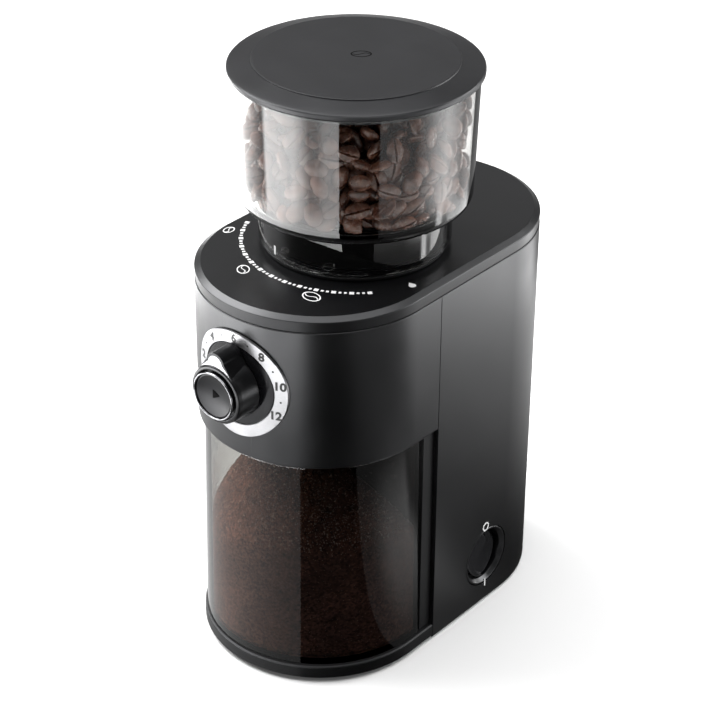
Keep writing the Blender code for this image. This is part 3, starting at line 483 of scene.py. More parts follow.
def ground_coffee(name, light, rough, gloss):
    """Ground coffee: dark and light grains of a few tenths of a millimetre, with painted shade that
    darkens it towards +X.
    """
    look, tree, shader = new_look(name, Roughness=rough, Specular_IOR_Level=gloss)
    grains = add_node(tree, "TexVoronoi", Scale=1300.0)
    place = add_node(tree, "TexCoord")
    tree.links.new(place.outputs["Object"], grains.inputs["Vector"])
    colour = ramp(tree, grains.outputs["Color"],
                  [(0.1, (0.060, 0.025, 0.016)), (0.5, (0.21, 0.090, 0.058)), (0.9, light)])
    clouds = ramp(tree, noise_in(tree, 60.0, 4.0), [(0.3, 0.55), (0.75, 1.0)])
    # painted shade across X: full colour below the first X, about a fifth as bright past the second
    across = add_node(tree, "SeparateXYZ")
    tree.links.new(place.outputs["Object"], across.inputs["Vector"])
    shade_across = set_inputs(add_node(tree, "MapRange"), {"From Min": PAINTED_SHADE_X[0] * MM,
                                                    "From Max": PAINTED_SHADE_X[1] * MM})
    tree.links.new(across.outputs["X"], shade_across.inputs["Value"])
    darker = ramp(tree, shade_across.outputs["Result"],
                  [(0.0, (1.0, 0.96, 0.94)), (1.0, (0.22, 0.22, 0.24))])
    whole = multiply(tree, multiply(tree, colour, clouds), darker)
    tree.links.new(whole, shader.inputs["Base Color"])
    add_bump(tree, shader, noise_in(tree, 1500.0, 7.0, 0.78), 0.30, 0.8)
    return look


BLACK = (0.0014, 0.0014, 0.0017), (0.0024, 0.0024, 0.0028)
LOOKS = {
    "body": moulded("body_black", *BLACK, 0.30),
    "cover": moulded("cover_black", *BLACK, 0.33),
    "recess": moulded("recess_black", (0.0008, 0.0008, 0.0009), (0.0014, 0.0014, 0.0016), 0.5,
                      shine=0.3),
    "lid": moulded("lid_dark_grey", (0.0055, 0.0055, 0.0062), (0.008, 0.008, 0.009), 0.34,
                   shine=0.36),
    "lid_disc": moulded("lid_matt", (0.0065, 0.0065, 0.0072), (0.009, 0.009, 0.010), 0.44,
                        shine=0.34),
    "button": moulded("button_black", (0.005, 0.005, 0.006), (0.008, 0.008, 0.009), 0.30,
                      depth=0.0, shine=0.17),
    "knob": moulded("knob_black", (0.002, 0.002, 0.0024), (0.0035, 0.0035, 0.004), 0.28,
                    depth=0.006, shine=0.36),
    "gloss": moulded("gloss_black", (0.006, 0.006, 0.007), (0.009, 0.009, 0.010), 0.12, depth=0.0),
    "silver": metal("satin_silver", (0.32, 0.32, 0.33), (0.41, 0.41, 0.42), 0.36, (1, 1, 12),
                    depth=0.001),
    "chrome": metal("dark_chrome", (0.20, 0.20, 0.21), (0.26, 0.26, 0.27), 0.16, depth=0.001),
    "steel": metal("steel", (0.45, 0.45, 0.46), (0.60, 0.60, 0.61), 0.30, (1, 1, 8)),
    "burr": metal("burr_steel", (0.30, 0.30, 0.31), (0.44, 0.44, 0.45), 0.36, (8, 8, 1)),
    "zinc": metal("cast_zinc", (0.36, 0.36, 0.38), (0.52, 0.52, 0.54), 0.46, depth=0.02,
                  scale=420.0),
    "brass": metal("sintered_brass", (0.50, 0.33, 0.12), (0.72, 0.52, 0.24), 0.40, depth=0.01),
    "rubber": moulded("rubber", (0.012, 0.012, 0.012), (0.020, 0.020, 0.020), 0.75, depth=0.03),
    "nylon": moulded("natural_nylon", (0.62, 0.60, 0.53), (0.74, 0.72, 0.65), 0.45),
    "board": moulded("solder_mask", (0.010, 0.085, 0.035), (0.020, 0.13, 0.055), 0.35),
    "ferrite": moulded("dark_moulding", (0.020, 0.020, 0.022), (0.034, 0.034, 0.037), 0.5),
    "bowl": clear_plastic("hopper_plastic", (0.93, 0.93, 0.92), (0.30, 0.30, 0.30)),
    "jar": clear_plastic("container_plastic", (0.62, 0.62, 0.605), (0.25, 0.25, 0.245)),
    "white": ink("white_ink", (0.80, 0.80, 0.80)),
    "black_ink": ink("black_ink", (0.010, 0.010, 0.010)),
    "bean": roasted("roasted_bean"),
    "grounds": ground_coffee("ground_coffee", (0.36, 0.17, 0.115), 0.9, 0.05),
    "grain": ground_coffee("coarse_coffee", (0.75, 0.52, 0.38), 0.3, 0.6),
    "liner": deep_black("neck_liner"),
}

# CAD pieces that keep their own shape: looks by material slot, then by node. The slots
# that aren't here have looks of their own name.
SLOT_LOOKS = {"black": "body", "clear": "jar"}
NODE_LOOKS = {"grinding_chamber": "recess", "chamber_seal": "rubber", "bay_wall": "recess",
              "interlock_plunger": "recess", "knob_shaft": "nylon"}


def dress_cad():
    for name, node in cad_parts.items():
        for slot in node.material_slots:
            finish = slot.material.name.split(".")[0]
            slot.material = LOOKS[NODE_LOOKS.get(name) or SLOT_LOOKS.get(finish, finish)]


# ---- housings ----
WALL = 2.5                # of the housings and the cover
SEAM_GAP = 0.3            # between the front and rear housings
SWITCH_HOLE = 14.2
INLET_HOLE = 6.3
INLET_MIDDLE = 8.5        # above the cable inlet's lowest point
SPINDLE_HOLE = 6.5
SHELL_EDGE = 0.35         # rounding of a housing's edges
CHUTE_HALF_WIDTH = 12.4
COVER_HOLE = 34.2         # round the hopper's foot


def make_rear_housing():
    low, high = REAR_LOW.z, REAR_HIGH.z
    profile = rounded([(0, low, 0.8), (0, high, 0.4), (WALL, high, 0.2), (WALL, low, 0.2)])
    shell = finish_mesh("rear_shell", swept(rear_path(SEAM_Y), profile), "body", "housing",
                        ["rear_housing"])
    cut(shell, prism(circle(SWITCH_HOLE, 96), -12, 6, AT_SWITCH))
    inlet = Matrix.Translation((0, REAR_Y + RADIUS, box("cable_inlet")[0].z + INLET_MIDDLE))
    backwards = inlet @ Matrix.Rotation(math.radians(-90), 4, "X")
    cut(shell, prism(circle(INLET_HOLE, 64), -8, 4, backwards))
    bevelled(shell, SHELL_EDGE)


def make_front_housing():
    low, high, path = FRONT_LOW.z, FRONT_HIGH.z, front_path(SEAM_Y - SEAM_GAP)
    ledge, ledge_top = 3.6, low + 2.4
    profile = rounded([(0, low, 0.9), (0, high, 0.4), (WALL, high, 0.2), (WALL, ledge_top, 0.1),
                       (ledge, ledge_top, 0.1), (ledge, low, 0.1)])
    shell = finish_mesh("front_shell", swept(path, profile), "body", "housing",
                        ["front_housing"])
    cut(shell, prism(circle(SPINDLE_HOLE, 48), -8, 5, AT_DIAL))
    bevelled(shell, SHELL_EDGE)
    floor = prism(inset_outline(path, ledge + 0.2), low + 0.1, ledge_top - 0.1)
    floor = finish_mesh("front_floor", floor, "recess", "housing")
    front = box("grinding_chamber")[0].y - 0.4
    back = front + 20.0
    chute = [(-CHUTE_HALF_WIDTH, front), (CHUTE_HALF_WIDTH, front), (CHUTE_HALF_WIDTH, back),
             (-CHUTE_HALF_WIDTH, back)]
    cut(floor, prism(chute, low - 4, low + 8))


def make_top_cover():
    """Polar about the hopper axis, so that the rim meets the round hole evenly."""
    low, top = COVER_LOW.z, BODY_TOP
    under, meet, outer = top - WALL, 9.0, 45.0
    outside = rounded([(0, low, 0.35), (0, top - 1.5, 0.5), (2.6, top, 0.5), (meet, top)],
                      closed=False)
    hole = rounded([(outer, top), (COVER_HOLE, top, 0.4), (COVER_HOLE, under, 0.2),
                    (outer, under)], closed=False)
    inside = rounded([(meet, under), (WALL, under, 0.3), (WALL, low)], closed=False)
    bm = bmesh.new()
    steps = 2 * ROUND
    turns = [2 * math.pi * i / steps for i in range(steps)]

    def ring(reaches, z):
        return [bm.verts.new((reach * math.cos(turn), HOPPER_Y + reach * math.sin(turn), z))
                for turn, reach in zip(turns, reaches)]

    def along_body(inset, z):
        return ring([body_reach(turn, inset) for turn in turns], z)

    rings = [along_body(inset, z) for inset, z in [(0.35, low)] + outside[1:]]
    rings += [ring([radius] * steps, z) for radius, z in hole[1:-1]]
    rings += [along_body(inset, z) for inset, z in inside[1:]]
    skin_rings(bm, rings, tube=True)
    finish_mesh("cover_shell", bm, "cover", "housing", ["top_cover"])


def make_base():
    low, high, back = BASE_LOW.z, BASE_HIGH.z, SEAM_Y - SEAM_GAP
    wide = 6.0
    profile = rounded([(0, low, 0.8), (0, high, 0.9), (wide, high, 0.1), (wide, low, 0.1)])
    lip = swept(front_path(back), profile)
    deck = prism(inset_outline(front_path(back), wide + 0.2), low + 0.3, high)
    tail = prism(inset_outline(rear_path(back + 0.1), 2.8), low + 0.3, high - 0.2)
    finish_mesh("base_lip", merged(lip, deck, tail), "recess", "housing", ["base_plate"])


# ---- hopper, lid and beans ----
BOWL_R = 48.8             # outside radius under the lid
BOWL_R_LOW = 47.0         # outside radius above the corner
BOWL_FLOOR = 194.3        # height of the bowl's underside
CORNER = 7.5
NECK_R = 39.0
CLEAR = 2.0               # the clear wall


def make_bowl():
    low, high, neck_low = BOWL_FLOOR, BOWL_HIGH.z, BOWL_LOW.z
    outside = [(BOWL_R, high, 0.5), (BOWL_R_LOW, low, CORNER), (NECK_R, low - 0.9, 1.0),
               (NECK_R, neck_low, 1.6), (NECK_R - 4.4, neck_low, 0.4)]
    inside = [(NECK_R - 4.4, neck_low + CLEAR, 0.4), (NECK_R - CLEAR, neck_low + CLEAR + 0.6, 1.0),
              (NECK_R - CLEAR, low + CLEAR, 1.6),
              (BOWL_R_LOW - CLEAR, low + CLEAR, CORNER - CLEAR), (BOWL_R - CLEAR, high, 0.5)]
    profile = rounded(outside + inside, steps=9)
    finish_mesh("hopper_bowl_clear", turned(profile, matrix=AT_HOPPER), "bowl", "hopper",
                ["hopper_bowl"], sharp=60)


def make_funnel():
    low, high, shelf = BOWL_LOW.z + 3.3, 196.0, 189.1
    reach = NECK_R - CLEAR - 0.35
    inner = reach - 1.6
    outline = [(26.0, low, 0.5), (reach, low, 0.6), (reach, high, 0.6), (inner, high, 0.6),
               (inner, shelf, 1.0)]
    finish_mesh("funnel_liner", turned(rounded(outline), matrix=AT_HOPPER), "liner", "hopper",
                ["hopper_funnel"])
    high = box("adjusting_ring")[1].z
    inner, thread, flange = 31.4, 33.1, 37.5
    foot, step = 152.6, 174.3
    outline = [(inner, foot, 0.3), (thread, foot, 0.3), (thread, step, 0.1), (flange, step, 0.4),
               (flange, high, 0.4), (inner, high, 0.3)]
    finish_mesh("setting_ring", turned(rounded(outline), matrix=AT_HOPPER), "recess",
                "grind_ring", ["adjusting_ring"])


def make_lid():
    """A bevelled lid with a matt disc let into its top, and a plug under it."""
    top, edge, skirt, plug_low = LID_HIGH.z, 250.1, 247.95, 245.2
    reach = (LID_HIGH.x - LID_LOW.x) / 2
    plug = BOWL_R - CLEAR - 0.75
    disc = top - 0.07
    outline = [(0, disc), (40.0, disc), (40.5, disc - 0.04), (40.75, top - 0.22),
               (40.95, top - 0.62), (41.5, top - 0.68), (46.0, 251.25), (49.1, 250.55),
               (50.0, edge + 0.1), (reach, edge - 0.35), (reach, skirt + 0.5),
               (reach - 0.3, skirt), (plug, skirt), (plug - 0.3, plug_low),
               (plug - 2.2, plug_low), (plug - 2.0, 248.4), (0, 250.2)]
    lid = finish_mesh("lid_shell", turned(outline, matrix=AT_HOPPER), "lid", "lid",
                      ["hopper_lid"], sharp=24)
    lid.data.materials.append(LOOKS["lid_disc"])
    for face in lid.data.polygons:
        if face.center.z > (top - 0.1) * MM:
            face.material_index = 1
    mark = thicken(placed(bean_icon(3.0), 0.0, 3.0, 39.0), 0.05)
    bmesh.ops.translate(mark, verts=mark.verts, vec=(0, HOPPER_Y, disc - 0.005))
    finish_mesh("lid_mark", mark, "liner", "lid")


def bowl_inside(z):
    """Inner radius of the bowl at a height."""
    rise, height = z - BOWL_FLOOR, BOWL_HIGH.z - BOWL_FLOOR
    slope = BOWL_R_LOW + (BOWL_R - BOWL_R_LOW) * rise / height - CLEAR
    corner_top = BOWL_FLOOR + CORNER
    if z >= corner_top:
        return slope
    inner = CORNER - CLEAR
    drop = min(1.0, (corner_top - z) / inner)
    return slope - inner * (1 - math.sqrt(max(0.0, 1 - drop * drop)))


# One bean's points: angles round it, and stations along its half length.
BEAN_TURNS = (-90, -82, -66, -35, -8, 20, 55, 90, 125, 160, 188, 215, 246, 262)
BEAN_STATIONS = (-0.97, -0.86, -0.66, -0.36, 0.0, 0.36, 0.66, 0.86, 0.97)
CREASE = -0.45            # height of the crease's bottom, on the flat side
BEANS_LOW = 196.7         # no point of a bean is lower


def bean_rings(rng):
    """One bean, lying along X with its flat, creased side down."""
    length, width = rng.uniform(4.4, 5.5), rng.uniform(3.3, 3.9)
    crown = rng.uniform(2.5, 3.0)
    rings = []
    for station in BEAN_STATIONS:
        swell = (1 - station * station) ** 0.46
        ring = []
        for turn in BEAN_TURNS:
            side, up = around(1.0, turn)
            height = crown * up if up > 0 else 1.5 * up
            if turn == -90:
                height = CREASE
            ring.append(Vector((station * length, width * swell * side, height * swell)))
        rings.append(ring)
    return rings, length


def add_bean(bm, rng, centre, spin):
    """Put a bean in the mesh, pressed flat where it would go through the bowl."""
    rings, length = bean_rings(rng)
    made = []

    def settle(point):
        point = spin @ point + centre
        flat = Vector((point.x, point.y - HOPPER_Y, 0))
        most = bowl_inside(point.z) - 0.3
        if flat.length > most:
            flat *= most / flat.length
            point = Vector((flat.x, flat.y + HOPPER_Y, point.z))
        point.z = max(point.z, BEANS_LOW)
        return bm.verts.new(point)

    for ring in rings:
        made.append([settle(point) for point in ring])
    skin_rings(bm, made)
    for tip, ring in ((-length, made[0]), (length, made[-1])):
        add_fan(bm, settle(Vector((tip, 0, 0.2))), ring)


def add_fan(bm, middle, ring):
    for i in range(len(ring)):
        bm.faces.new((middle, ring[i], ring[(i + 1) % len(ring)]))


def packed_centres(rng, count, size, low, high, inner):
    """Centres pushed apart until the bowl's outer layer is evenly full."""
    draw = np.random.default_rng(rng.randrange(1 << 30))
    turn = draw.uniform(0, 2 * math.pi, count)
    reach = draw.uniform(inner, BOWL_R_LOW - CLEAR - size / 2, count)
    points = np.stack([reach * np.cos(turn), reach * np.sin(turn),
                       draw.uniform(low, high, count)], 1)
    for step in range(70):
        gap = points[:, None, :] - points[None, :, :]
        far = np.sqrt((gap ** 2).sum(2)) + np.eye(count) * 100
        push = np.clip(size - far, 0, None)[:, :, None] * gap / far[:, :, None]
        points += 0.32 * push.sum(1)
        points[:, 2] = np.clip(points[:, 2] - 0.05, low, high)
        flat = np.hypot(points[:, 0], points[:, 1])
        rim = np.array([bowl_inside(z) for z in points[:, 2]]) - size / 2
        fitted = np.clip(flat, inner, rim)
        points[:, 0] *= fitted / flat
        points[:, 1] *= fitted / flat
    return points


def make_beans():
    rng = random.Random(11)
    count, spacing = 640, 7.0
    low, high, inner = 199.6, 244.0, 24.0
    bm = bmesh.new()
    for x, y, z in packed_centres(rng, count, spacing, low, high, inner):
        outwards = Vector((x, y, 0)).normalized()
        facing = outwards if rng.random() < 0.5 else -outwards
        facing = (facing + Vector([rng.gauss(0, 0.45) for _ in range(3)])).normalized()
        roll = Matrix.Rotation(rng.uniform(0, 2 * math.pi), 3, "Z")
        spin = facing.to_track_quat("Z", "Y").to_matrix() @ roll
        add_bean(bm, rng, Vector((x, y + HOPPER_Y, z)), spin)
    finish_mesh("coffee_beans", bm, "bean", "hopper", sharp=50)


# ---- grounds container ----
JAR_BACK = box("bay_wall")[0].y - 0.7
JAR_INSET_LOW = 1.0       # inside the body's outline at the bottom, and at the top
JAR_INSET_TOP = 2.4
JAR_WALL = 2.2
JAR_FLOOR = 2.2
INNER_CORNER = 1.4
OUTER_CORNER = 2.5
HEAP_PEAK = (0.0, -44.0)
HEAP_TOP = 96.0
HEAP_EDGE = 61.0
SMEAR_LOW = 60.0          # grains stick to the wall above this height,
SMEAR_END = 0.1           # and on the front side of this angle from +X (radians)


def jar_outline(inset, back, corner, steps=ARC_STEPS):
    """The container's plan, from its back left corner round the front."""
    half = RADIUS - inset
    return (arc(corner, 90, 180, 8, -half + corner, back - corner)
            + arc(half, -180, 0, steps, 0.0, FRONT_Y)
            + arc(corner, 0, 90, 8, half - corner, back - corner))


def jar_inset(z):
    """How far the container's outside is in from the body's, at a height."""
    part = (z - JAR_LOW.z) / (JAR_HIGH.z - JAR_LOW.z)
    return JAR_INSET_LOW + (JAR_INSET_TOP - JAR_INSET_LOW) * part


def make_jar():
    """Rings up the outside, over the rim and down the inside: (inset, height)."""
    low, high = JAR_LOW.z, JAR_HIGH.z
    floor = low + JAR_FLOOR
    outside = [(0.9, low), (0.25, low + 0.25), (0, low + 0.9), (0, high - 0.6),
               (0.2, high - 0.15), (0.6, high)]
    inside = [(JAR_WALL - 0.6, high), (JAR_WALL - 0.2, high - 0.15), (JAR_WALL, high - 0.6),
              (JAR_WALL, floor + 2.0), (JAR_WALL + 0.6, floor + 0.6), (JAR_WALL + 2.0, floor)]
    bm = bmesh.new()
    rings = []
    for steps, corner in ((outside, OUTER_CORNER), (inside, INNER_CORNER)):
        for extra, z in steps:
            outline = jar_outline(jar_inset(z) + extra, JAR_BACK - extra, corner)
            rings.append([bm.verts.new((x, y, z)) for x, y in outline])
    skin_solid(bm, rings)
    finish_mesh("container_clear", bm, "jar", "container", ["grounds_container"], sharp=40)


def rough(point, size):
    return noise.noise(Vector(point) / size)


def heap_point(x, y, part, lift=0.0):
    """A point on the heap, part of the way from its peak towards (x, y) on the wall."""
    x = HEAP_PEAK[0] + (x - HEAP_PEAK[0]) * part
    y = HEAP_PEAK[1] + (y - HEAP_PEAK[1]) * part
    lean = 3.0 * (x / RADIUS)
    height = HEAP_TOP - (HEAP_TOP - HEAP_EDGE) * part ** 1.7 + lean * part
    height += 1.5 * rough((x, y, 3.0), 14.0) + 0.9 * rough((x, y, 9.0), 5.0)
    height += 0.55 * rough((x, y, 1.0), 1.7)
    height += 0.3 * rough((x, y, 5.0), 0.8)
    return x, y, height + lift


def heap_edge(gap):
    """Where the heap meets the wall, a little inside it."""
    return jar_outline(jar_inset(HEAP_EDGE) + JAR_WALL + gap, JAR_BACK - JAR_WALL - gap,
                       INNER_CORNER, 2 * ARC_STEPS)


def make_grounds():
    """The heap's rough top, then its side down the wall to the floor."""
    gap, top_steps, side_steps = 0.3, 46, 24
    floor = JAR_LOW.z + JAR_FLOOR + gap
    edge = heap_edge(gap)
    bm = bmesh.new()
    rings = []
    for step in range(1, top_steps + 1):
        rings.append([bm.verts.new(heap_point(x, y, step / top_steps)) for x, y in edge])
    rim = [vert.co.copy() for vert in rings[-1]]
    for step in range(1, side_steps + 1):
        part = step / side_steps
        ring = []
        for top in rim:
            z = top.z + (floor - top.z) * part
            shift = jar_inset(z) - jar_inset(HEAP_EDGE)
            out = Vector((top.x, min(0.0, top.y - FRONT_Y), 0)).normalized()
            ring.append(bm.verts.new((top.x - shift * out.x, top.y - shift * out.y, z)))
        rings.append(ring)
    skin_rings(bm, rings)
    add_fan(bm, bm.verts.new(heap_point(*HEAP_PEAK, 0.0)), rings[0])
    bm.faces.new(rings[-1])
    finish_mesh("ground_coffee_heap", bm, "grounds", "container", sharp=180)


def make_grains():
    """Coarse grains on the heap's slope and stuck to the wall above it."""
    rng = random.Random(5)
    on_slope, on_wall = 2600, 420
    bm = bmesh.new()
    edge = heap_edge(0.5)
    for _ in range(on_slope):
        x, y = edge[rng.randrange(len(edge))]
        part = math.sqrt(rng.uniform(0.12, 0.98))
        add_grain(bm, rng, heap_point(x, y, part, 0.15), rng.uniform(0.2, 0.55))
    for _ in range(on_wall):
        turn = rng.gauss(-28, 17)
        z = rng.uniform(62, 100) - abs(rng.gauss(0, 6))
        reach = RADIUS - jar_inset(z) - JAR_WALL - 0.32
        if z < SMEAR_LOW or math.radians(turn) > SMEAR_END:
            continue
        add_grain(bm, rng, (*around(reach, turn, 0.0, FRONT_Y), z), rng.uniform(0.12, 0.3))
    finish_mesh("coarse_grains", bm, "grain", "container", sharp=20)


def add_grain(bm, rng, centre, size):
    """A small crooked chip."""
    spin = Matrix.Rotation(rng.uniform(0, 6.28), 3, "Z") @ Matrix.Rotation(
        rng.uniform(0, 3.14), 3, "X")
    verts = []
    for corner in ((1, 0, 0), (-1, 0, 0), (0, 1, 0), (0, -1, 0), (0, 0, 1), (0, 0, -1)):
        point = spin @ (Vector(corner) * size * rng.uniform(0.6, 1.3))
        verts.append(bm.verts.new(point + Vector(centre)))
    right, left, far, near, top, bottom = verts
    for a, b in ((right, far), (far, left), (left, near), (near, right)):
        bm.faces.new((a, b, top))
        bm.faces.new((b, a, bottom))


# ---- dial, knob and start button ----
DIAL_INNER = 17.8         # the satin ring's inner radius
DIAL_FACE = 1.27          # its face above the front
NUMBERS_AT = 20.4         # radius of the numerals
NUMBER_STEP = 39.0        # degrees between them
KNOB_BACK = 1.6           # in front of the apex, as the other depths here
BARREL_RADIUS = 12.7
POINTER_AT = 13.7         # the middle of the pointer's round end, and its radius
POINTER_ROUND = 4.6
BUTTON_RADIUS = 9.25


def on_front(u, v, lift):
    """A point on the round front: u across, v up from the dial's middle."""
    return Vector((u, FRONT_Y - math.sqrt((RADIUS + lift) ** 2 - u * u), DIAL_Z + v))


def bent_ring(profile):
    """A (radius, lift) outline turned about the dial's axis and laid on the round front."""
    bm = bmesh.new()
    rings = [[bm.verts.new(on_front(radius * x, radius * y, lift)) for radius, lift in profile]
             for x, y in circle(1.0, ROUND)]
    skin_rings(bm, rings, tube=True)
    return bm


def text_mesh(text, size, bold):
    """Generic numerals from Blender's own font, centred on the origin, in mm."""
    curve = bpy.data.curves.new("numeral", "FONT")
    curve.body = text
    curve.size = size
    curve.offset = bold
    curve.align_x = "CENTER"
    curve.align_y = "CENTER"
    curve.resolution_u = 6
    holder = linked("numeral", curve)
    graph = bpy.context.evaluated_depsgraph_get()
    mesh = bpy.data.meshes.new_from_object(holder.evaluated_get(graph))
    bm = bmesh.new()
    bm.from_mesh(mesh)
    bpy.data.objects.remove(holder)
    bpy.data.meshes.remove(mesh)
    return bm


def make_dial():
    inner, outer = DIAL_INNER, (RING_HIGH.x - RING_LOW.x) / 2
    back, shoulder = 0.35, 1.1
    profile = [(inner, back), (inner, shoulder), (inner + 0.2, DIAL_FACE),
               (outer - 0.2, DIAL_FACE), (outer, shoulder), (outer, back)]
    finish_mesh("dial_ring_satin", bent_ring(profile), "silver", "housing", ["dial_ring"])
    edge, floor, rim = 17.4, 0.9, 0.95
    profile = [(SPINDLE_HOLE, back), (SPINDLE_HOLE, floor), (15.8, floor), (16.6, rim),
               (edge, rim), (edge, back)]
    finish_mesh("dial_plate_gloss", bent_ring(profile), "gloss", "housing", ["dial_plate"])
    prints = []
    for i in range(6):
        turn = 168 - NUMBER_STEP * i
        prints.append(placed(text_mesh(str(2 * i + 2), 5.0, 0.2), *around(NUMBERS_AT, turn)))
        if i < 5:
            dot = outline_mesh(circle(0.42, 16))
            prints.append(placed(dot, *around(NUMBERS_AT, turn - NUMBER_STEP / 2)))
    bm = thicken(merged(*prints), 0.035)
    for vert in bm.verts:
        vert.co = on_front(vert.co.x, vert.co.y, DIAL_FACE - 0.005 + vert.co.z)
    finish_mesh("dial_numbers", bm, "black_ink", "housing", sharp=30)


def make_knob():
    bore, well, front = 4.3, 8.7, 11.9
    barrel = [(bore, KNOB_BACK, 0.1), (13.5, KNOB_BACK, 0.5), (BARREL_RADIUS, 10.4, 0.6),
              (12.3, 12.4, 1.3), (10.75, 12.5, 0.3), (10.6, well, 0.2), (bore, well, 0.1)]
    finish_mesh("knob_barrel", turned(rounded(barrel, steps=6), 128, AT_DIAL), "knob",
                "selector", ["selector_knob"])
    outline = [(-11.2, 5.4)] + arc(POINTER_ROUND, 168, 12, 24, 0.0, POINTER_AT)
    outline += [(11.2, 5.4), (10.7, 3.0), (-10.7, 3.0)]
    pointer = finish_mesh("knob_pointer", prism(outline, KNOB_BACK, front, AT_DIAL), "knob",
                          "selector")
    cut(pointer, prism(circle(11.4, 96), 0.0, 14.0, AT_DIAL))
    bevelled(pointer, 1.0, 4, 50)
    # a satin plate let into the pointer's front face, ending at the barrel
    outline = arc(POINTER_ROUND - 1.1, 172, 8, 24, 0.0, POINTER_AT)
    outline += arc(BARREL_RADIUS, 54, 126, 12)
    finish_mesh("pointer_inlay", prism(outline, front - 0.2, front + 0.08, AT_DIAL), "silver",
                "selector")


def make_button():
    radius = BUTTON_RADIUS
    stem, stem_end, back = 2.2, -9.4, 11.0
    outline = [(0, stem_end), (stem, stem_end), (stem, back), (radius - 0.2, back),
               (radius, back + 0.2), (radius, 13.0), (radius - 0.1, 13.25),
               (radius - 0.5, 13.35)]
    dish_steps = 12
    for i in range(1, dish_steps + 1):
        part = 1 - i / dish_steps
        outline.append(((radius - 0.5) * part, 12.0 + 1.35 * part ** 2.2))
    finish_mesh("start_button_face", turned(outline, 128, AT_DIAL), "button", "start",
                ["start_button"], sharp=30)
    trim = [(9.8 + 0.42 * x, 13.45 + 0.62 * y) for x, y in circle(1.0, 16)]
    finish_mesh("button_rim_chrome", turned(trim, 128, AT_DIAL), "chrome", "start",
                ["button_trim"], sharp=60)
    triangle = rounded([(-1.5, 2.1, 0.3), (-1.5, -2.1, 0.3), (2.2, 0.0, 0.3)], steps=4)
    finish_mesh("start_mark", prism(triangle, 12.04, 12.18, AT_DIAL), "liner", "start")


# ---- power switch ----
ROCKER_RADIUS = 10.7
ROCKER_HINGE = 4.6        # its hinge's depth under the side
ROCKER_TILT = -8.0        # degrees, at rest


def rocker_face(u, v):
    """Height of the rocker's face: a raised lobe and a dished one, parted by an S."""
    part = v / ROCKER_RADIUS
    border = -0.6 + 4.6 * math.sin(math.pi * part)
    raised = 1 - blend(u, border - 0.5, border + 0.7)
    dish = 0.9 * max(0.0, 1 - ((u - 3.5) ** 2 + (v + 3.0) ** 2) / 60.0)
    return 1.05 + 1.5 * raised - dish * (1 - raised)


def make_rocker():
    bm = bmesh.new()
    rings = [[bm.verts.new((u, v, -1.6)) for u, v in circle(ROCKER_RADIUS, 120)]]
    levels = [(1.0, -0.5), (0.985, -0.15)] + [(0.96 * step / 28, 0.0) for step in range(28, 0, -1)]
    for part, sink in levels:
        rings.append([bm.verts.new((u, v, rocker_face(u, v) + sink))
                      for u, v in circle(ROCKER_RADIUS * part, 120)])
    skin_solid(bm, rings)
    hinge = (Matrix.Translation((RADIUS - ROCKER_HINGE, SWITCH_Y, SWITCH_Z))
             @ Matrix.Rotation(math.radians(ROCKER_TILT), 4, "Y") @ SIDE_TURN)
    bmesh.ops.transform(bm, matrix=hinge, verts=bm.verts)
    finish_mesh("rocker_cap", bm, "gloss", "rocker", ["power_rocker"], sharp=45)


def make_switch():
    outer, inner, deep = 13.85, 11.7, -5.7
    bezel = [(outer, -0.3, 0.1), (13.6, -0.03, 0.1), (13.0, -0.03, 0.3), (inner, -1.7, 0.2),
             (inner, deep, 0.1), (outer, deep, 0.1)]
    finish_mesh("switch_surround", turned(rounded(bezel), 128, AT_SWITCH), "body", "housing",
                ["switch_bezel"], sharp=30)
    finish_mesh("switch_well", prism(circle(inner - 0.1, 96), -6.3, -5.75, AT_SWITCH), "recess",
                "housing")
    make_rocker()
    dash = outline_mesh(rounded([(-0.4, -2.0, 0.2), (0.4, -2.0, 0.2), (0.4, 2.0, 0.2),
                                 (-0.4, 2.0, 0.2)]))
    marks = merged(placed(ring_outline(2.15, 1.45, 40), -0.9, 15.6), placed(dash, 0.0, -14.2))
    bm = thicken(marks, 0.05)
    bmesh.ops.transform(bm, matrix=AT_SWITCH, verts=bm.verts)
    finish_mesh("switch_marks", bm, "white", "housing")


# ---- prints on the top ----
SCALE_RADIUS = 46.0       # of the dashes round the hopper
SCALE_ENDS = (-158.0, -41.0)
ICON_REACH = 51.6


def arc_stroke(radius, width, start, end):
    """A short stroke along a circle about the origin, angles in degrees."""
    outer = arc(radius + width / 2, start, end, 4)
    inner = arc(radius - width / 2, start, end, 4)
    return outline_mesh(outer + inner[::-1])


def bean_icon(size):
    """A generic bean: an outline with a waved crease."""
    parts = [i / 6 - 1 for i in range(13)]
    upper, lower = ([(1.1 * size * part, 0.3 * size * math.sin(3.0 * part) + half)
                     for part in parts] for half in (0.2, -0.2))
    return merged(ring_outline(size, size - 0.42, 40, 1.38), outline_mesh(upper + lower[::-1]))


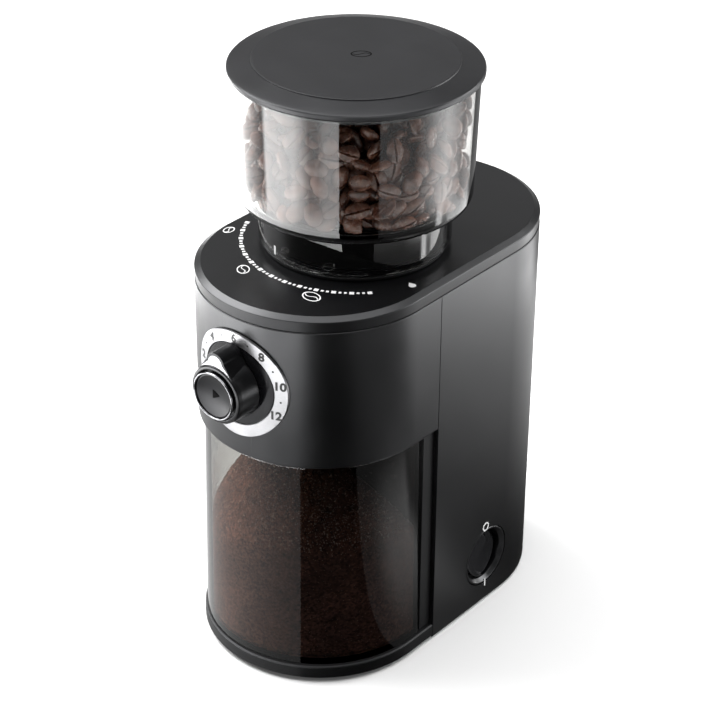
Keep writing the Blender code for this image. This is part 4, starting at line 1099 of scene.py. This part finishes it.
def make_top_prints():
    prints = []
    dash, angle = 0, SCALE_ENDS[0]
    while angle < SCALE_ENDS[1]:
        width, span = (1.25, 1.35) if dash % 3 else (1.9, 2.3)
        prints.append(arc_stroke(SCALE_RADIUS, width, angle, angle + span))
        angle += span + 1.25
        dash += 1
    for turn, size in ((-147.5, 2.1), (-108.6, 2.6), (-69.2, 3.1)):
        prints.append(placed(bean_icon(size), *around(ICON_REACH, turn), turn + 60))
    bead = arc(1.5, 35, 325, 29) + [(2.7, 0.0)]
    turn = -20.9
    prints.append(placed(outline_mesh(bead), *around(45.4, turn), turn + 180))
    bm = thicken(merged(*prints), 0.05)
    bmesh.ops.translate(bm, verts=bm.verts, vec=(0, HOPPER_Y, BODY_TOP - 0.005))
    finish_mesh("setting_scale", bm, "white", "housing")
    bm = bmesh.new()
    left, right, low, high = -105.1, -103.3, 178.6, 182.4
    bm.faces.new([bm.verts.new((*around(NECK_R + 0.03, turn, 0.0, HOPPER_Y), z))
                  for turn, z in ((left, low), (right, low), (right, high), (left, high))])
    finish_mesh("hopper_pointer", bm, "white", "hopper")


# ---- floor, lights and camera ----
AZIMUTH = 39.449          # degrees from -Y towards +X
ELEVATION = 30.659
ROLL = 0.436
DISTANCE = 950.4
TARGET = (-5.36, 7.05, 110.15)
LENS = 112.63

# Glossy-only cards are what the body mirrors. Angles are from the camera's azimuth.
DARK_GAP = (-18.4, 27.0)      # behind the camera, as the body mirrors it
HOPPER_GAP = (-14.0, 21.0)    # the same gap as the hopper mirrors it
CARD_RADIUS = 330.0
CARD_HEIGHTS = (0.6, 12, 24, 30, 36, 42, 48, 80, 130)
LEFT_CARD = ((-180, 7.6), (-132, 7.6), (-118, 4.5), (-104, 3.0), (-91, 1.4), (-87, 11.0),
             (-70, 12.5), (-56, 12.5), (-47, 7.0), (-41, 3.0), (-33, 3.2), (-26, 5.5), (0, 5.5))
RIGHT_CARD = ((0, 1.0), (55, 1.0), (69, 3.6), (78, 6.0), (88, 7.0), (99, 4.1), (112, 1.6),
              (128, 1.6), (136, 0.3), (180, 0.3))
LEFT_NECK = ((-180, 10.0), (-75, 10.0), (-50, 7.4), (0, 7.4))
RIGHT_NECK = ((0, 0.25), (79, 0.3), (82, 8.0), (86, 8.0), (89, 1.2), (93, 1.2), (97, 4.8),
              (128, 4.8), (138, 0.3), (180, 0.3))


def stage_mesh(name, bm, look, glossy_only=True):
    """A part of the set: the floor, or a card that only reflections see."""
    item = to_object(name, bm)
    item.data.materials.append(look)
    if glossy_only:
        item.visible_camera = False
        item.visible_diffuse = False
        item.visible_transmission = False
        item.visible_shadow = False


def plan_direction(azimuth):
    """Level direction at an azimuth from -Y towards +X."""
    turn = math.radians(azimuth)
    return Vector((math.sin(turn), -math.cos(turn), 0))


def level_at(turn, stops):
    """Glow at an angle, along straight lines between (angle, glow) stops."""
    for (start, low), (end, high) in zip(stops, stops[1:]):
        if turn <= end:
            return low + (high - low) * (turn - start) / (end - start)
    return stops[-1][1]


def floor_glow(turn, reach):
    """What the lower walls mirror: a lit table on both sides of a dark gap."""
    if turn < DARK_GAP[0]:
        return 1.0 - 0.5 * blend(turn, -60, -18)
    if turn < DARK_GAP[1]:
        return 0.0
    side = blend(turn, 75, 105)
    near = 0.7 * blend(turn, 32, 56) * (1 - blend(turn, 74, 82))
    near *= blend(reach, 78, 100) * (1 - blend(reach, 150, 220))
    return (0.16 + near) * (1 - side) + side * (0.04 + 1.1 * blend(reach, 90, 300))


def wall_glow(turn, height):
    """What the hopper mirrors: softboxes on both sides, with gaps between them."""
    if HOPPER_GAP[0] <= turn < HOPPER_GAP[1]:
        return 0.0
    bowl = level_at(turn, LEFT_CARD if turn < 0 else RIGHT_CARD)
    neck = level_at(turn, LEFT_NECK if turn < 0 else RIGHT_NECK)
    return neck + (bowl - neck) * blend(height, 26, 46)


def glow_mesh(name, spots, value):
    """A glossy-only card: rows of (turn, distance, height) lit by value(turn, along)."""
    bm = bmesh.new()
    layer = bm.verts.layers.float_color.new("Glow")
    rings = []
    for row in spots:
        ring = []
        for turn, reach, z, along in row:
            vert = bm.verts.new((*around(reach, AZIMUTH + turn - 90, 0.0, HOPPER_Y), z))
            level = value(turn, along)
            vert[layer] = (level, level, level, 1)
            ring.append(vert)
        rings.append(ring)
    skin_rings(bm, rings, loop=False)
    look, tree, shader = new_look(name, Base_Color=(0, 0, 0, 1), Specular_IOR_Level=0.0,
                                  Emission_Strength=1.0)
    level = add_node(tree, "Attribute")
    level.attribute_name = "Glow"
    tree.links.new(level.outputs["Color"], shader.inputs["Emission Color"])
    stage_mesh(name, bm, look)


def make_floor():
    """A pale floor with painted light: it glows by its own emission, faintly near the object and
    full white away from it.
    """
    floor = bmesh.new()
    bmesh.ops.create_grid(floor, x_segments=2, y_segments=2, size=6000)
    look, tree, shader = new_look("floor_glow_white", Roughness=0.9, Specular_IOR_Level=0.1,
                                  Emission_Color=(1, 1, 1, 1))
    ramp(tree, noise_in(tree, 0.8, 2.0), [(0.3, 0.80), (0.7, 0.82)], shader.inputs["Base Color"])
    place = add_node(tree, "TexCoord")
    length = add_node(tree, "VectorMath")
    length.operation = "LENGTH"
    tree.links.new(place.outputs["Object"], length.inputs[0])
    # painted light: the floor's emission strength rises from 0.06 near the object to 1.0 far from
    # it
    far = set_inputs(add_node(tree, "MapRange"), {"From Min": 0.45, "From Max": 1.6,
                                                  "To Min": 0.06, "To Max": 1.0})
    far.interpolation_type = "SMOOTHSTEP"
    tree.links.new(length.outputs["Value"], far.inputs["Value"])
    tree.links.new(far.outputs["Result"], shader.inputs["Emission Strength"])
    stage_mesh("floor", floor, look, glossy_only=False)


def make_stage():
    make_floor()
    turns = [-180 + 1.5 * i for i in range(241)]
    turns = sorted(turns + [edge + side for edge in DARK_GAP + HOPPER_GAP
                            for side in (-0.05, 0.05)])
    table = [[(turn, reach, 0.6, reach) for turn in turns] for reach in range(0, 331, 30)]
    glow_mesh("table_reflection", table, floor_glow)
    cards = [[(turn, CARD_RADIUS, z, z) for turn in turns] for z in CARD_HEIGHTS]
    glow_mesh("softbox_reflection", cards, wall_glow)


def area_light(name, place, size, power):
    """A soft lamp aimed at the body's middle."""
    light = bpy.data.lights.new(name, "AREA")
    light.shape = "RECTANGLE"
    light.size, light.size_y = size[0] * MM, size[1] * MM
    light.energy = power
    lamp = linked(name, light)
    lamp.location = place * MM
    lamp.rotation_euler = (Vector((0, 0, 100)) - place).to_track_quat("-Z", "Y").to_euler()
    lamp.visible_camera = False
    lamp.visible_transmission = False


def make_world():
    """A dim surround for the object, seen as a white backdrop by the camera itself."""
    world = bpy.data.worlds.new("studio")
    world.use_nodes = True
    tree = world.node_tree
    dim = set_inputs(tree.nodes["Background"], {"Color": (1, 1, 1, 1), "Strength": 0.10})
    backdrop = add_node(tree, "Background", Color=(1, 1, 1, 1), Strength=1.0)
    path = add_node(tree, "LightPath")
    surface = mix_shaders(tree, path.outputs["Is Camera Ray"], dim.outputs["Background"],
                          backdrop.outputs["Background"])
    tree.links.new(surface, tree.nodes["World Output"].inputs["Surface"])
    bpy.context.scene.world = world


def make_lights():
    make_world()
    for name, turn, height, reach, size, power in (
            ("top_softbox", 0, 1700, 1, (1900, 1900), 34.0),
            ("left_softbox", -112, 1050, 900, (950, 950), 30.0),
            ("right_softbox", 108, 560, 900, (620, 520), 7.0),
            ("back_softbox", 180, 760, 1050, (1500, 620), 0.9)):
        place = plan_direction(AZIMUTH + turn) * reach
        place.z = height
        area_light(name, place, size, power)


def make_camera():
    way = plan_direction(AZIMUTH) * math.cos(math.radians(ELEVATION))
    way.z = math.sin(math.radians(ELEVATION))
    data = bpy.data.cameras.new("photo_view")
    data.lens = LENS
    data.sensor_width = 36.0
    camera = linked("photo_view", data)
    camera.location = (Vector(TARGET) + way * DISTANCE) * MM
    aim = (-way).to_track_quat("-Z", "Y").to_matrix()
    camera.rotation_euler = (aim @ Matrix.Rotation(math.radians(ROLL), 3, "Z")).to_euler()
    bpy.context.scene.camera = camera


def weight_normals():
    """Let the large faces set the shading, so that fillets don't bend flat walls."""
    for piece in PIECES:
        piece.modifiers.new("Shading", "WEIGHTED_NORMAL").keep_sharp = True


for make in (make_camera, make_lights, make_stage, dress_cad, make_rear_housing,
             make_front_housing, make_top_cover, make_base, make_bowl, make_funnel, make_lid,
             make_beans, make_jar, make_grounds, make_grains, make_dial, make_knob,
             make_button, make_switch, make_top_prints, weight_normals):
    make()
bpy.context.scene.view_settings.view_transform = "Standard"
